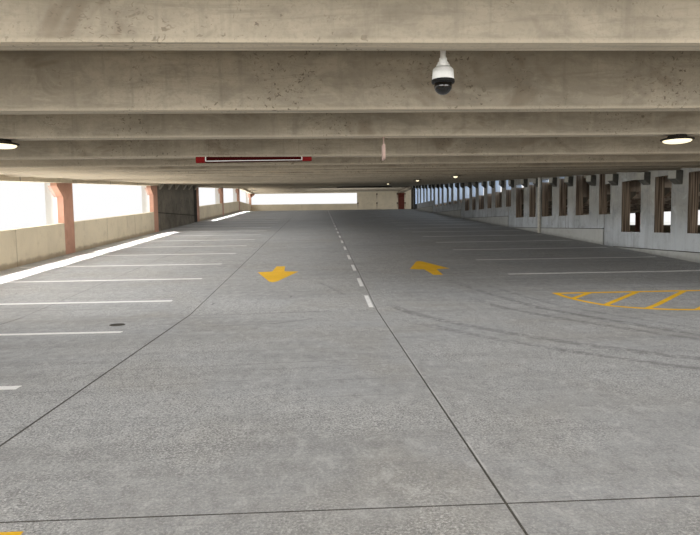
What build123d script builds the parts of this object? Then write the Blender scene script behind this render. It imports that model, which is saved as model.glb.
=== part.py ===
from build123d import *
from math import atan, cos, degrees, radians, sin
import os

os.makedirs("parts", exist_ok=True)

# Every length is a millimetre of the half size model.
# X runs east across the two bays, Y north along the ramp, Z up.

# Plan
tee_width = 1829.0
tees_per_bay = 3
bay_count = 7
ramp_last_bay = 6
clear_span = 9505.0
middle_wall_thickness = 150.0
slab_joint = 10.0

# Levels
ground_slab_depth = 75.0
storey_height = 1700.0
west_rise = 1550.0
parapet_height = 535.0

# Clearances
seat_gap = 0.3
panel_joint = 10.0
tee_joint = 10.0
tee_end_gap = 6.0

# Double tees
flange_depth = 50.0
tee_depth = 430.0
stem_spacing = 1000.0
stem_top_width = 110.0
stem_foot_width = 80.0
stem_notch = 56.0
notch_clearance = 12.0
first_bay_on_tees = 4

# Side walls and their ledges
web_thickness = 100.0
ledge_width = 100.0
ledge_height = 110.0
ledge_end_gap = 30.0
reveal_width = 12.0
reveal_depth = 8.0
shear_wall_bay = 4
shear_wall_joint_height = 1135.0

# Columns and their brackets
column_along = 400.0
column_depth = 300.0
bracket_reach = 230.0
bracket_height = 240.0
bracket_nose = 45.0
bracket_width = 150.0
far_bracket_reach = 120.0
far_bracket_setback = 50.0

# Middle wall
pier_width = 400.0
sill_height = 555.0
opening_height = 850.0
corbel_reach = 140.0
corbel_height = 180.0
low_corbel_height = 130.0
shear_corbel_height = 200.0
corbel_nose = 60.0
corbel_width = 220.0

# Beams over the cross aisles
beam_ledge_depth = 110.0
beam_column_along = 400.0
beam_column_depth = 300.0
beam_bracket_reach = 220.0

# North end wall
solid_wall_start = 2850.0
solid_wall_joint = 1585.0
spandrel_seat = 150.0

# Fittings
light_radius = 92.0
light_depth = 46.0
light_sides = 16
light_places = ((0, 2925.0), (4, 2925.0), (11, 2825.0), (15, 2875.0), (22, 2835.0),
                (0, 7025.0), (4, 7025.0))
pendant_from_wall = 4745.0
pendant_stem_number = 2
pendant_behind_stem = 170.0
pendant_radius = 9.0
pendant_length = 367.0
housing_radius = 37.0
housing_length = 81.0
housing_chamfer = 16.0
dome_radius = 30.0
dome_rim = 7.0
dome_sides = 16
bar_from_wall = 5209.0
bar_from_south = 4715.0
bar_length = 816.0
bar_height = 43.0
bar_thickness = 20.0
bar_hanger_length = 416.0
hanger_radius = 5.0
bar_sides = 12
hanger_inset = 90.0
sign_from_wall = 4761.0
sign_stem_number = 4
sign_length = 200.0
sign_height = 92.0
sign_thickness = 10.0
sign_drop = 41.0
drain_radius = 38.0
drain_wall_gap = 6.0
drain_stem_number = 15
drain_side_gap = 12.0
pipe_radius = 26.0
pipe_drop = 20.0
pipe_before_stem = 110.0
pipe_start_from_wall = 1160.0
pipe_length = 3050.0
pipe_collar_radius = 36.0
pipe_collar_length = 50.0

# Sizes that follow from the ones above
bay_length = tee_width * tees_per_bay
building_length = bay_length * bay_count
wall_face = middle_wall_thickness / 2
side_face = wall_face + clear_span
outer_face = side_face + column_depth
ground = ground_slab_depth
south_end = -building_length / 2
north_end = building_length / 2
east_fall = storey_height - west_rise
ledge_drop = tee_depth - stem_notch
web_drop = ledge_drop + ledge_height
narrow_opening = tee_width - stem_spacing - pier_width
wide_opening = stem_spacing - pier_width
ramp_bays = range(2, ramp_last_bay + 1)


def line(number):
    """Y of a column line, counted from the south end."""
    return south_end + number * bay_length


def ramp_share(y):
    """0 at the foot of the ramp, 1 at its top, level beyond both."""
    share = (y - line(1)) / (line(ramp_last_bay) - line(1))
    return min(max(share, 0.0), 1.0)


def west_floor(y):
    return ground + west_rise * ramp_share(y)


def west_roof(y):
    return west_floor(y) + storey_height


def east_deck(y):
    return ground + storey_height - east_fall * ramp_share(y)


def slope(level, y):
    return (level(y + 1) - level(y - 1)) / 2


def plumb(level, y):
    """Factor from a depth square to the floor to a plumb depth."""
    return 1 / cos(atan(slope(level, y)))


def prism_yz(points, x_from, x_to):
    face = make_face(Polyline(*points, close=True))
    return extrude(Plane.YZ.offset(x_from) * face, x_to - x_from)


def prism_xz(points, y_from, y_to):
    plane = Plane(origin=(0, y_to, 0), x_dir=(1, 0, 0), z_dir=(0, -1, 0))
    face = make_face(Polyline(*points, close=True))
    return extrude(plane * face, y_to - y_from)


def block(x_from, x_to, y_from, y_to, z_from, z_to):
    box = Box(x_to - x_from, y_to - y_from, z_to - z_from)
    return Pos((x_from + x_to) / 2, (y_from + y_to) / 2, (z_from + z_to) / 2) * box


def round_bar(radius, length):
    """An upright bar with flat facets, its foot at the origin."""
    return extrude(make_face(RegularPolygon(radius, bar_sides).edges()), length)


def rod(radius, x, y, z_from, z_to):
    return Pos(x, y, z_from) * round_bar(radius, z_to - z_from)


def set_on(level, y, shape):
    """Turn a shape to a deck's slope and set it on the deck at y."""
    tilt = degrees(atan(slope(level, y)))
    return Pos(0, y, level(y)) * Rot(tilt, 0, 0) * shape


def save(name, shapes):
    shape = shapes[0] if len(shapes) == 1 else Compound(children=list(shapes))
    export_step(shape, "parts/" + name + ".step")


def to_east(shapes):
    return [mirror(shape, about=Plane.YZ) for shape in shapes]


# Double tees. All are drawn for the west bay and mirrored for the east one.
def tee(width, stems):
    points = [(-width / 2, 0), (-width / 2, -flange_depth)]
    for stem in stems:
        points.append((stem - stem_top_width / 2, -flange_depth))
        points.append((stem - stem_foot_width / 2, -tee_depth))
        points.append((stem + stem_foot_width / 2, -tee_depth))
        points.append((stem + stem_top_width / 2, -flange_depth))
    points += [(width / 2, -flange_depth), (width / 2, 0)]
    body = prism_yz(points, -side_face + tee_end_gap, -wall_face - tee_end_gap)
    notch = block(-side_face, -side_face + ledge_width + notch_clearance,
                  -width, width, -2 * tee_depth, -ledge_drop)
    return body - notch


def tee_centres(bay):
    return [line(bay - 1) + (k + 0.5) * tee_width for k in range(tees_per_bay)]


def stem_offsets():
    return (-stem_spacing / 2, stem_spacing / 2)


def deck_tees(level, bays):
    tees = []
    for bay in bays:
        for y in tee_centres(bay):
            width = tee_width * plumb(level, y) - tee_joint
            tees.append(set_on(level, y, tee(width, stem_offsets())))
    return tees


# Corbels that carry the stems
def corbel(face, reach_sign, drop, reach, height, offset):
    back = face + reach_sign * seat_gap
    front = face + reach_sign * reach
    top = -drop - seat_gap
    points = [(back, top), (front, top), (front, top - corbel_nose),
              (back, top - height)]
    return prism_xz(points, offset - corbel_width / 2, offset + corbel_width / 2)


def wall_corbels(level, bays, height):
    """Corbels on the west face of the middle wall."""
    places = [(y, offset) for bay in bays for y in tee_centres(bay)
              for offset in stem_offsets()]
    found = []
    for y, offset in places:
        shape = corbel(-wall_face, -1, tee_depth, corbel_reach, height, offset)
        found.append(set_on(level, y, shape))
    return found


def shear_corbels(level, height):
    """Corbels on the inner face of the solid bay of the side wall."""
    found = []
    for y in tee_centres(shear_wall_bay):
        for offset in stem_offsets():
            shape = corbel(-side_face, 1, ledge_drop, ledge_width, height, offset)
            found.append(set_on(level, y, shape))
    return found


# Side walls
def web(y_from, y_to, bottom, top):
    points = [(y_from, bottom(y_from)), (y_to, bottom(y_to)),
              (y_to, top(y_to)), (y_from, top(y_from))]
    return prism_yz(points, -side_face - web_thickness, -side_face)


def ledge(level, y_from, y_to):
    factor = plumb(level, (y_from + y_to) / 2)

    def top(y):
        return level(y) - ledge_drop * factor - seat_gap

    points = [(y_from, top(y_from) - ledge_height), (y_to, top(y_to) - ledge_height),
              (y_to, top(y_to)), (y_from, top(y_from))]
    return prism_yz(points, -side_face, -side_face + ledge_width)


def web_ends(bay):
    """Y where the web of a bay starts and ends, clear of the columns."""
    inset = column_along / 2 + panel_joint / 2
    return line(bay - 1) + inset, line(bay) - inset


def ledge_ends(bay):
    return line(bay - 1) + ledge_end_gap, line(bay) - ledge_end_gap


def web_bottom(level):
    def bottom(y):
        return level(y) - web_drop * plumb(level, y) - seat_gap
    return bottom


def web_top(level):
    def top(y):
        return level(y) + parapet_height
    return top


def ground_line(y):
    return ground + seat_gap


def with_reveals(panel, bay):
    """Upright grooves in the inner face, one where two tees meet."""
    for k in range(1, tees_per_bay):
        y = line(bay - 1) + k * tee_width
        panel = panel - block(-side_face - reveal_depth, -side_face + reveal_depth,
                              y - reveal_width / 2, y + reveal_width / 2,
                              0, 3 * storey_height)
    return panel


def spandrel(level, bay):
    y_from, y_to = web_ends(bay)
    panel = with_reveals(web(y_from, y_to, web_bottom(level), web_top(level)), bay)
    return panel + ledge(level, *ledge_ends(bay))


def grade_wall(level, bay, with_ledge):
    y_from, y_to = web_ends(bay)
    panel = with_reveals(web(y_from, y_to, ground_line, web_top(level)), bay)
    if with_ledge:
        panel = panel + ledge(level, *ledge_ends(bay))
    return panel


def shear_wall(level):
    y_from, y_to = web_ends(shear_wall_bay)
    joint = ground + shear_wall_joint_height

    def lower_top(y):
        return joint - seat_gap

    def upper_bottom(y):
        return joint

    lower = web(y_from, y_to, ground_line, lower_top)
    upper = web(y_from, y_to, upper_bottom, web_top(level))
    groove = block(-side_face - reveal_depth, -side_face, y_from, y_to, joint,
                   joint + reveal_width)
    return [lower, upper - groove]


# Columns
def bracket(side, seat, grade):
    """A bracket beside a column, its sloping seat under a web's end.

    The one on the far side is shorter and set back behind the column's face.
    """
    length = bracket_reach if side < 0 else far_bracket_reach
    setback = seat_gap if side < 0 else far_bracket_setback
    start = side * column_along / 2
    reach = side * (column_along / 2 + length)
    rise = grade * (reach - start)
    points = [(0, seat), (start, seat), (reach, seat + rise),
              (reach, seat + rise - bracket_nose), (start, seat - bracket_height),
              (0, seat - bracket_height)]
    return prism_yz(points, -side_face - bracket_width, -side_face - setback)


def column(top, seats):
    shaft = block(-outer_face, -side_face - seat_gap, -column_along / 2,
                  column_along / 2, ground + seat_gap, top)
    for side, seat, grade in seats:
        shaft = shaft + bracket(side, seat, grade)
    return shaft


def column_seats(level, number):
    seats = []
    for side, bay in ((-1, number), (1, number + 1)):
        if bay < 1 or bay > bay_count or bay == shear_wall_bay:
            continue
        y = line(number) + side * column_along / 2
        seat = web_bottom(level)(y) - seat_gap
        seats.append((side, seat, slope(level, y)))
    return seats


def side_columns(level, bracket_lines):
    """Columns of one side, with brackets along X at the lines named."""
    columns = []
    for number in range(bay_count + 1):
        top = level(line(number)) + parapet_height
        seats = column_seats(level, number)
        shaft = Pos(0, line(number), 0) * column(top, seats)
        if number in bracket_lines:
            outward = -1 if number == 0 else 1
            shaft = shaft + corner_bracket(level, line(number), outward)
        columns.append(shaft)
    return columns


def corner_bracket(level, y_inner, outward):
    """A bracket along X on a corner column, under an end spandrel."""
    start = -side_face - seat_gap
    seat = level(y_inner) - web_drop - 2 * seat_gap
    points = [(start, seat), (start + bracket_reach, seat),
              (start + bracket_reach, seat - bracket_nose),
              (start, seat - bracket_height)]
    y_near = y_inner + outward * seat_gap
    y_far = y_inner + outward * bracket_width
    return prism_xz(points, min(y_near, y_far), max(y_near, y_far))


# Middle wall
def opening_box(y, width, low_floor):
    sill = low_floor + sill_height
    return block(-middle_wall_thickness, middle_wall_thickness, y - width / 2,
                 y + width / 2, sill, sill + opening_height)


def middle_panel(bay):
    y_from = line(bay - 1) + panel_joint / 2
    y_to = line(bay) - panel_joint / 2
    low_floor = west_floor(line(bay - 1))
    points = [(y_from, ground + seat_gap), (y_to, ground + seat_gap),
              (y_to, west_roof(y_to) + parapet_height),
              (y_from, west_roof(y_from) + parapet_height)]
    panel = prism_yz(points, -wall_face, wall_face)
    for y in tee_centres(bay):
        panel = panel - opening_box(y, wide_opening, low_floor)
    for k in range(tees_per_bay + 1):
        at_the_end = bay == 2 and k == 0 or bay == ramp_last_bay and k == tees_per_bay
        if not at_the_end:
            y = line(bay - 1) + k * tee_width
            panel = panel - opening_box(y, narrow_opening, low_floor)
    return panel


# Cross aisles at the two ends, where the middle wall gives way to beams
def beam_ends(bay):
    if bay == 1:
        return south_end + seat_gap, line(1) - panel_joint / 2
    return line(ramp_last_bay) + panel_joint / 2, north_end - seat_gap


def cross_beam(bay):
    """A beam with a ledge on both sides."""
    top = east_deck(line(bay))
    seat = top - tee_depth - seat_gap
    soffit = seat - beam_ledge_depth
    ledge_face = wall_face + corbel_reach
    points = [(-ledge_face, soffit), (ledge_face, soffit), (ledge_face, seat),
              (wall_face, seat), (wall_face, top), (-wall_face, top),
              (-wall_face, seat), (-ledge_face, seat)]
    return prism_xz(points, *beam_ends(bay))


def roof_edge_beam():
    """The beam with one ledge that carries the north roof landing."""
    roof = west_roof(north_end)
    seat = roof - tee_depth - seat_gap
    soffit = seat - beam_ledge_depth
    points = [(-wall_face - corbel_reach, soffit), (wall_face, soffit),
              (wall_face, roof + parapet_height), (-wall_face, roof + parapet_height),
              (-wall_face, seat), (-wall_face - corbel_reach, seat)]
    return prism_xz(points, *beam_ends(bay_count))


def beam_column(y_from, z_from, z_to):
    half = beam_column_depth / 2
    return block(-half, half, y_from, y_from + beam_column_along,
                 z_from + seat_gap, z_to - seat_gap)


def beam_soffit(level, y):
    return level(y) - tee_depth - seat_gap - beam_ledge_depth


def beam_columns():
    south, end = beam_ends(1)
    north = beam_ends(bay_count)[0]
    low = beam_soffit(east_deck, south)
    high = beam_soffit(east_deck, north)
    roof = beam_soffit(west_roof, north)
    deck = east_deck(north)
    return [beam_column(south, ground, low),
            beam_column(end - beam_column_along, ground, low),
            beam_column(north, ground, high), beam_column(north, deck, roof)]


# End walls, drawn along X
def end_panel(x_from, x_to, y_inner, outward, z_from, z_to):
    y_outer = y_inner + outward * web_thickness
    near, far = min(y_inner, y_outer), max(y_inner, y_outer)
    return block(x_from, x_to, near, far, z_from, z_to)


def end_column(x, top, seats):
    """A column in the south wall with brackets that run along X."""
    turned = column(top, seats)
    moved = Pos(side_face, 0, 0) * turned
    return Pos(x, south_end, 0) * Rot(0, 0, 90) * moved


def south_column_places():
    middle = (wall_face + side_face) / 2
    return (-middle, 0.0, middle)


def south_columns():
    top = ground + storey_height + parapet_height
    seat = ground + storey_height - web_drop - 2 * seat_gap
    seats = [(-1, seat, 0.0), (1, seat, 0.0)]
    return [end_column(x, top, seats) for x in south_column_places()]


def south_spans():
    inset = column_along / 2 + panel_joint / 2
    starts = [-side_face + panel_joint / 2]
    ends = []
    for x in south_column_places():
        ends.append(x - inset)
        starts.append(x + inset)
    ends.append(side_face - panel_joint / 2)
    return list(zip(starts, ends))


def south_spandrels():
    floor = ground + storey_height
    panels = []
    for x_from, x_to in south_spans():
        panels.append(end_panel(x_from, x_to, south_end, -1,
                                floor - web_drop - seat_gap, floor + parapet_height))
    return panels


def south_low_wall():
    panels = []
    for x_from, x_to in south_spans()[:2]:
        panels.append(end_panel(x_from, x_to, south_end, -1,
                                ground + seat_gap, ground + parapet_height))
    return panels


def north_lower_wall():
    x_from = -side_face + panel_joint / 2
    x_to = -solid_wall_start - panel_joint / 2
    top = west_floor(north_end) + parapet_height
    return [end_panel(x_from, x_to, north_end + seat_gap, 1, ground + seat_gap, top)]


def north_upper_spandrel():
    x_from = -side_face + panel_joint / 2
    x_to = -solid_wall_start + spandrel_seat
    floor = west_roof(north_end)
    return [end_panel(x_from, x_to, north_end + seat_gap, 1,
                      floor - web_drop - seat_gap, floor + parapet_height)]


def north_solid_wall():
    """Two full height panels on each side of the brown column."""
    top = west_roof(north_end) + parapet_height
    cuts = [(-solid_wall_start, -solid_wall_joint), (-solid_wall_joint, -column_along / 2)]
    panels = []
    for x_from, x_to in cuts:
        panels.append(end_panel(x_from + panel_joint / 2, x_to - panel_joint / 2,
                                north_end + seat_gap, 1, ground + seat_gap, top))
    east_panels = to_east(panels)
    step = block(-solid_wall_start, -solid_wall_start + spandrel_seat + panel_joint / 2,
                 north_end, north_end + 2 * web_thickness,
                 west_roof(north_end) - web_drop - 2 * seat_gap, 2 * top)
    panels[0] = panels[0] - step
    return panels + east_panels


def beam_bracket(soffit):
    half = beam_column_depth / 2
    reach = north_end - beam_bracket_reach
    points = [(north_end + seat_gap, soffit), (reach, soffit),
              (reach, soffit - bracket_nose), (north_end + seat_gap,
                                               soffit - bracket_height)]
    return prism_yz(points, -half, half)


def north_brown_column():
    top = west_roof(north_end) + parapet_height
    shaft = block(-column_along / 2, column_along / 2, north_end + seat_gap,
                  north_end + column_depth, ground + seat_gap, top)
    for level in (east_deck, west_roof):
        shaft = shaft + beam_bracket(beam_soffit(level, north_end) - seat_gap)
    return shaft


def north_east_wall():
    x_from = solid_wall_start + panel_joint / 2
    x_to = side_face - panel_joint / 2
    top = east_deck(north_end) + parapet_height
    return end_panel(x_from, x_to, north_end + seat_gap, 1, ground + seat_gap, top)


# Ground
def ground_slab_west():
    south = south_end - column_depth
    return block(-outer_face, -slab_joint / 2, south, -south, 0, ground)


def ramp_base():
    y_from = line(1)
    y_to = line(first_bay_on_tees - 1) - tee_joint / 2
    bottom = ground + seat_gap
    points = [(y_from, bottom), (y_to, bottom), (y_to, west_floor(y_to)),
              (y_from, bottom + seat_gap)]
    return prism_yz(points, -side_face + tee_end_gap, -wall_face - tee_end_gap)


# Fittings under the west ceiling
def stem_y(number):
    """The centre of a stem's tee and the stem's offset from it, counted from the south."""
    bay, place = divmod(int(number), 2 * tees_per_bay)
    return tee_centres(bay + 1)[place // 2], stem_offsets()[place % 2]


def flange_soffit():
    """Underside of the flanges over the level south aisle."""
    return ground + storey_height - flange_depth - seat_gap


def ceiling_lights():
    found = []
    face = make_face(RegularPolygon(light_radius, light_sides).edges())
    for number, from_wall in light_places:
        y, offset = stem_y(number)
        top = -tee_depth - seat_gap
        lamp = Pos(-wall_face - from_wall, offset, top - light_depth)
        found.append(set_on(west_roof, y, lamp * extrude(face, light_depth)))
    return found


def pendant_place():
    centre, offset = stem_y(pendant_stem_number)
    return -wall_face - pendant_from_wall, centre + offset + pendant_behind_stem


def camera_pendant():
    x, y = pendant_place()
    ceiling = flange_soffit()
    plate = rod(3 * pendant_radius, x, y, ceiling - pendant_radius / 2, ceiling)
    return rod(pendant_radius, x, y, ceiling - pendant_length, ceiling) + plate


def housing_foot():
    return flange_soffit() - pendant_length - seat_gap - housing_length


def camera_housing():
    x, y = pendant_place()
    bottom = housing_foot()
    shell = rod(housing_radius, x, y, bottom, bottom + housing_length)
    return chamfer(shell.edges().group_by(Axis.Z)[-1], housing_chamfer)


def camera_dome():
    """A short rim and a half ball, drawn with flat facets."""
    x, y = pendant_place()
    top = housing_foot() - seat_gap
    outline = [(dome_radius, top), (dome_radius, top - dome_rim)]
    for angle in (30, 55, 75):
        outline.append((dome_radius * cos(radians(angle)),
                        top - dome_rim - dome_radius * sin(radians(angle))))
    rings = [Pos(x, y, height) * make_face(RegularPolygon(radius, dome_sides).edges())
             for radius, height in outline]
    return loft(rings, ruled=True)


def bar_ends():
    start = -wall_face - bar_from_wall - bar_length
    return start, start + bar_length


def height_bar():
    x_from, x_to = bar_ends()
    y = south_end + bar_from_south
    top = flange_soffit() - bar_hanger_length - seat_gap
    return block(x_from, x_to, y - bar_thickness / 2, y + bar_thickness / 2,
                 top - bar_height, top)


def bar_hangers():
    x_from, x_to = bar_ends()
    y = south_end + bar_from_south
    ceiling = flange_soffit()
    bottom = ceiling - bar_hanger_length
    return [rod(hanger_radius, x_from + hanger_inset, y, bottom, ceiling),
            rod(hanger_radius, x_to - hanger_inset, y, bottom, ceiling)]


def hanging_sign():
    x = -wall_face - sign_from_wall
    centre, offset = stem_y(sign_stem_number)
    y = centre + offset
    soffit = ground + storey_height - tee_depth - seat_gap
    top = soffit - sign_drop
    plate = block(x - sign_thickness / 2, x + sign_thickness / 2,
                  y - sign_length / 2, y + sign_length / 2, top - sign_height, top)
    return plate + rod(hanger_radius, x, y, top - sign_height / 2, soffit)


def drain_pipe():
    centre, offset = stem_y(drain_stem_number)
    y = centre + offset - corbel_width / 2 - drain_side_gap - drain_radius
    x = -wall_face - drain_wall_gap - drain_radius
    soffit = west_roof(y - drain_radius) - flange_depth * plumb(west_roof, y)
    top = soffit - seat_gap
    bottom = west_floor(y + drain_radius) + seat_gap
    return rod(drain_radius, x, y, bottom, top)


def ceiling_pipe():
    y = tee_centres(bay_count)[0] - stem_spacing / 2 - pipe_before_stem
    z = west_roof(y) - tee_depth - pipe_drop
    x_to = -wall_face - pipe_start_from_wall
    x_from = x_to - pipe_length
    pipe = Pos(x_from, y, z) * Rot(0, 90, 0) * round_bar(pipe_radius, pipe_length)
    top = west_roof(y) - flange_depth - seat_gap
    for share in (0.1, 0.5, 0.9):
        x = x_from + share * pipe_length
        place = Pos(x - pipe_collar_length / 2, y, z) * Rot(0, 90, 0)
        pipe = pipe + place * round_bar(pipe_collar_radius, pipe_collar_length)
        pipe = pipe + rod(hanger_radius, x, y, z, top)
    return pipe


lower_tee_bays = range(first_bay_on_tees, bay_count + 1)
open_bays = [bay for bay in range(1, bay_count + 1) if bay != shear_wall_bay]

save("ground_slab_west", [ground_slab_west()])
save("ground_slab_east", to_east([ground_slab_west()]))
save("west_ramp_base", [ramp_base()])
save("west_ramp_tees", deck_tees(west_floor, lower_tee_bays))
save("west_upper_landing_tees", deck_tees(west_roof, [1]))
save("west_ceiling_tees_south", deck_tees(west_roof, [2, 3]))
save("west_ceiling_tees_north", deck_tees(west_roof, [4, 5, 6, 7]))
save("east_upper_landing_tees", to_east(deck_tees(east_deck, [1])))
save("east_ramp_tees_south", to_east(deck_tees(east_deck, [2, 3])))
save("east_ramp_tees_north", to_east(deck_tees(east_deck, [4, 5, 6, 7])))

save("west_columns", side_columns(west_roof, (0, bay_count)))
save("east_columns", to_east(side_columns(east_deck, (0,))))

save("west_lower_walls",
     [grade_wall(west_floor, bay, bay >= first_bay_on_tees) for bay in open_bays])
save("west_upper_spandrels", [spandrel(west_roof, bay) for bay in open_bays])
save("west_shear_wall", shear_wall(west_roof))
save("shear_wall_corbels", shear_corbels(west_roof, shear_corbel_height)
     + shear_corbels(west_floor, low_corbel_height)
     + to_east(shear_corbels(east_deck, low_corbel_height)))
save("east_lower_walls",
     to_east([web(*web_ends(bay), ground_line, web_top(ground_line))
              for bay in open_bays]))
save("east_deck_spandrels", to_east([spandrel(east_deck, bay) for bay in open_bays]))
save("east_shear_wall", to_east(shear_wall(east_deck)))

for bay in ramp_bays:
    save("middle_wall_panel_" + str(bay), [middle_panel(bay)])
save("middle_wall_corbels_west", wall_corbels(west_roof, ramp_bays, corbel_height)
     + wall_corbels(west_floor, range(first_bay_on_tees, ramp_last_bay + 1),
                    low_corbel_height))
save("middle_wall_corbels_east",
     to_east(wall_corbels(east_deck, ramp_bays, corbel_height)))
save("cross_beams", [cross_beam(1), cross_beam(bay_count), roof_edge_beam()])
save("cross_beam_columns", beam_columns())

save("south_columns", south_columns())
save("south_spandrels", south_spandrels())
save("south_low_wall", south_low_wall())
save("north_lower_wall", north_lower_wall())
save("north_upper_spandrel", north_upper_spandrel())
save("north_solid_wall", north_solid_wall())
save("north_brown_column", [north_brown_column()])
save("north_east_wall", [north_east_wall()])

save("ceiling_lights", ceiling_lights())
save("camera_pendant", [camera_pendant()])
save("camera_housing", [camera_housing()])
save("camera_dome", [camera_dome()])
save("height_bar", [height_bar()])
save("height_bar_hangers", bar_hangers())
save("hanging_sign", [hanging_sign()])
save("drain_pipe", [drain_pipe()])
save("ceiling_pipe", [ceiling_pipe()])
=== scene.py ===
import math

import bmesh
import bpy
from mathutils import Matrix, Vector


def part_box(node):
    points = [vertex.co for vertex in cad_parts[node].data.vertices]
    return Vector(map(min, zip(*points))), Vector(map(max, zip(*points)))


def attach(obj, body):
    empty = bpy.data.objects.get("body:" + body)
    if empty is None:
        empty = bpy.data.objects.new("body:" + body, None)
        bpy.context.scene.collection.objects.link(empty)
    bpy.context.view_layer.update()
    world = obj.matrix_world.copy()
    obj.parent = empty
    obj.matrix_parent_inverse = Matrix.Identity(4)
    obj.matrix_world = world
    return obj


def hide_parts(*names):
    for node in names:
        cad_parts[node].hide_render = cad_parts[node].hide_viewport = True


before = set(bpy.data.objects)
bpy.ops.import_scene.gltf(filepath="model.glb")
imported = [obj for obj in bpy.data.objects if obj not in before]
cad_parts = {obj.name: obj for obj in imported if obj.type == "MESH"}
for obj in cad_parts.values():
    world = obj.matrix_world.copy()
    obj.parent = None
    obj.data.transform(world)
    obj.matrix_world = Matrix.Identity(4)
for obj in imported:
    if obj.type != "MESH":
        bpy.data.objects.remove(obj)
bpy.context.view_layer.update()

bl_info = {
    "name": "Half size precast car park",
    "version": (1, 0, 0),
    "blender": (4, 5, 0),
    "location": "3D View > Sidebar > Car park",
    "description": "Finishes, markings and fittings for a half size precast concrete car park",
    "category": "Object",
}

ROOT = "root"

# The frame's own lines, in metres
TEE = 1.829
BAY = 3 * TEE
SOUTH = -3.5 * BAY
LINES = [SOUTH + number * BAY for number in range(8)]
RAMP_START, RAMP_END = LINES[1], LINES[6]
RUN = RAMP_END - RAMP_START
GROUND = 0.075
RISE = 1.55
STOREY = 1.70
EAST_FALL = 0.15
STEM_DEPTH = 0.43
SOFFIT = STOREY - STEM_DEPTH
SIDE = 9.58
WALL = 0.075
SLOPE = math.atan2(RISE, RUN)
EAST_SLOPE = math.atan2(EAST_FALL, RUN)
STEM_PLACES = (0.4145, 1.4145)

# The photograph's camera
EYE = (-5.2325, -18.757, 0.818)
YAW, PITCH, ROLL = math.radians(2.831), math.radians(4.154), math.radians(0.803)
LENS, SENSOR = 30.40, 36.0
CLIP = (0.02, 500.0)


def ramp_share(y):
    return min(max((y - RAMP_START) / RUN, 0.0), 1.0)


def west_floor(y):
    return GROUND + RISE * ramp_share(y)


def west_roof(y):
    return west_floor(y) + STOREY


def east_deck(y):
    return GROUND + STOREY - EAST_FALL * ramp_share(y)


def linear(*screen):
    """A colour given in screen values, 0 to 255, as Blender wants it."""
    parts = (value / 255 for value in screen)
    return tuple(p / 12.92 if p <= 0.04045 else ((p + 0.055) / 1.055) ** 2.4 for p in parts)


def scaled(colour, factor):
    return tuple(min(part * factor, 1.0) for part in colour)


def tinted(colour, tint, share):
    return tuple(a * (1 - share) + b * share for a, b in zip(colour, tint))


COOL_TINT = linear(168, 176, 190)
WARM_TINT = linear(150, 140, 120)


# Settings


def colour_setting(name, description, *screen):
    return bpy.props.FloatVectorProperty(
        name=name, description=description, subtype="COLOR", size=3, min=0, max=1,
        default=linear(*screen))


def number_setting(name, description, default, low, high, unit="NONE"):
    return bpy.props.FloatProperty(
        name=name, description=description, default=default, min=low, max=high, unit=unit)


class CarParkColours(bpy.types.PropertyGroup):
    """Colours of the concretes and paints."""
    ceiling: colour_setting("Ceiling concrete", "Clean double tees", 180, 169, 150)
    floor: colour_setting("Floor concrete", "Broomed decks", 163, 163, 162)
    cream: colour_setting("Cream panels", "Parapets and spandrels", 226, 213, 187)
    salmon: colour_setting("Salmon columns", "Side columns", 196, 149, 126)
    wall: colour_setting("Middle wall", "Cool grey pierced wall", 160, 163, 162)
    dark: colour_setting("Dark concrete", "Closed bay's panels", 118, 111, 98)
    brown: colour_setting("Red-brown column", "End column", 96, 44, 32)
    white_line: colour_setting("White line paint", "Stall lines and dashes", 242, 241, 239)
    yellow_line: colour_setting("Yellow line paint", "Arrows, hatched island", 250, 194, 8)
    red: colour_setting("Headroom bar", "Paint of the headroom bar's ends", 112, 6, 7)


class CarParkMarkings(bpy.types.PropertyGroup):
    """Sizes of the floor markings."""
    line_width: number_setting(
        "Line width", "Width of a painted line", 0.062, 0.02, 0.2, "LENGTH")
    paint_height: number_setting(
        "Paint thickness", "Height of the paint on the concrete", 0.0012, 0.0002, 0.005, "LENGTH")
    stall_width: number_setting(
        "Stall width", "Distance between stall lines", 1.45, 1.0, 2.0, "LENGTH")
    right_stall_width: number_setting(
        "Right stall width", "The same along the middle wall", 1.50, 1.0, 2.0, "LENGTH")
    dash_length: number_setting(
        "Dash length", "Length of a dash beside the middle joint", 0.60, 0.1, 2.0, "LENGTH")
    dash_pitch: number_setting(
        "Dash pitch", "Distance between the upper ramp's dashes", 1.37, 0.2, 4.0, "LENGTH")
    joint_width: number_setting(
        "Joint width", "Width of the sealant in a floor joint", 0.008, 0.002, 0.05, "LENGTH")


class CarParkLight(bpy.types.PropertyGroup):
    """Studio light."""
    world: number_setting("World light", "Strength of the even light all round", 0.42, 0, 5)
    key: number_setting("Key light", "Strength of the upper west light", 2.2, 0, 20)
    south: number_setting("South panel", "Light in the south end", 95.0, 0, 5000, "POWER")
    side: number_setting("Side panels", "Light in a west opening", 58.0, 0, 5000, "POWER")
    wash: number_setting("Floor wash", "Even light onto the floor", 99.0, 0, 5000, "POWER")
    stem: number_setting("Stem wash", "Light onto the nearest stem", 34.0, 0, 5000, "POWER")
    low: number_setting("East low panel", "Light under the east deck", 58.0, 0, 5000, "POWER")
    strip: number_setting("Sun strips", "Light of a metre of strip", 5.5, 0, 500, "POWER")
    east: number_setting("East sky panel", "Cool light over the east", 124.0, 0, 5000, "POWER")


# Materials


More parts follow.
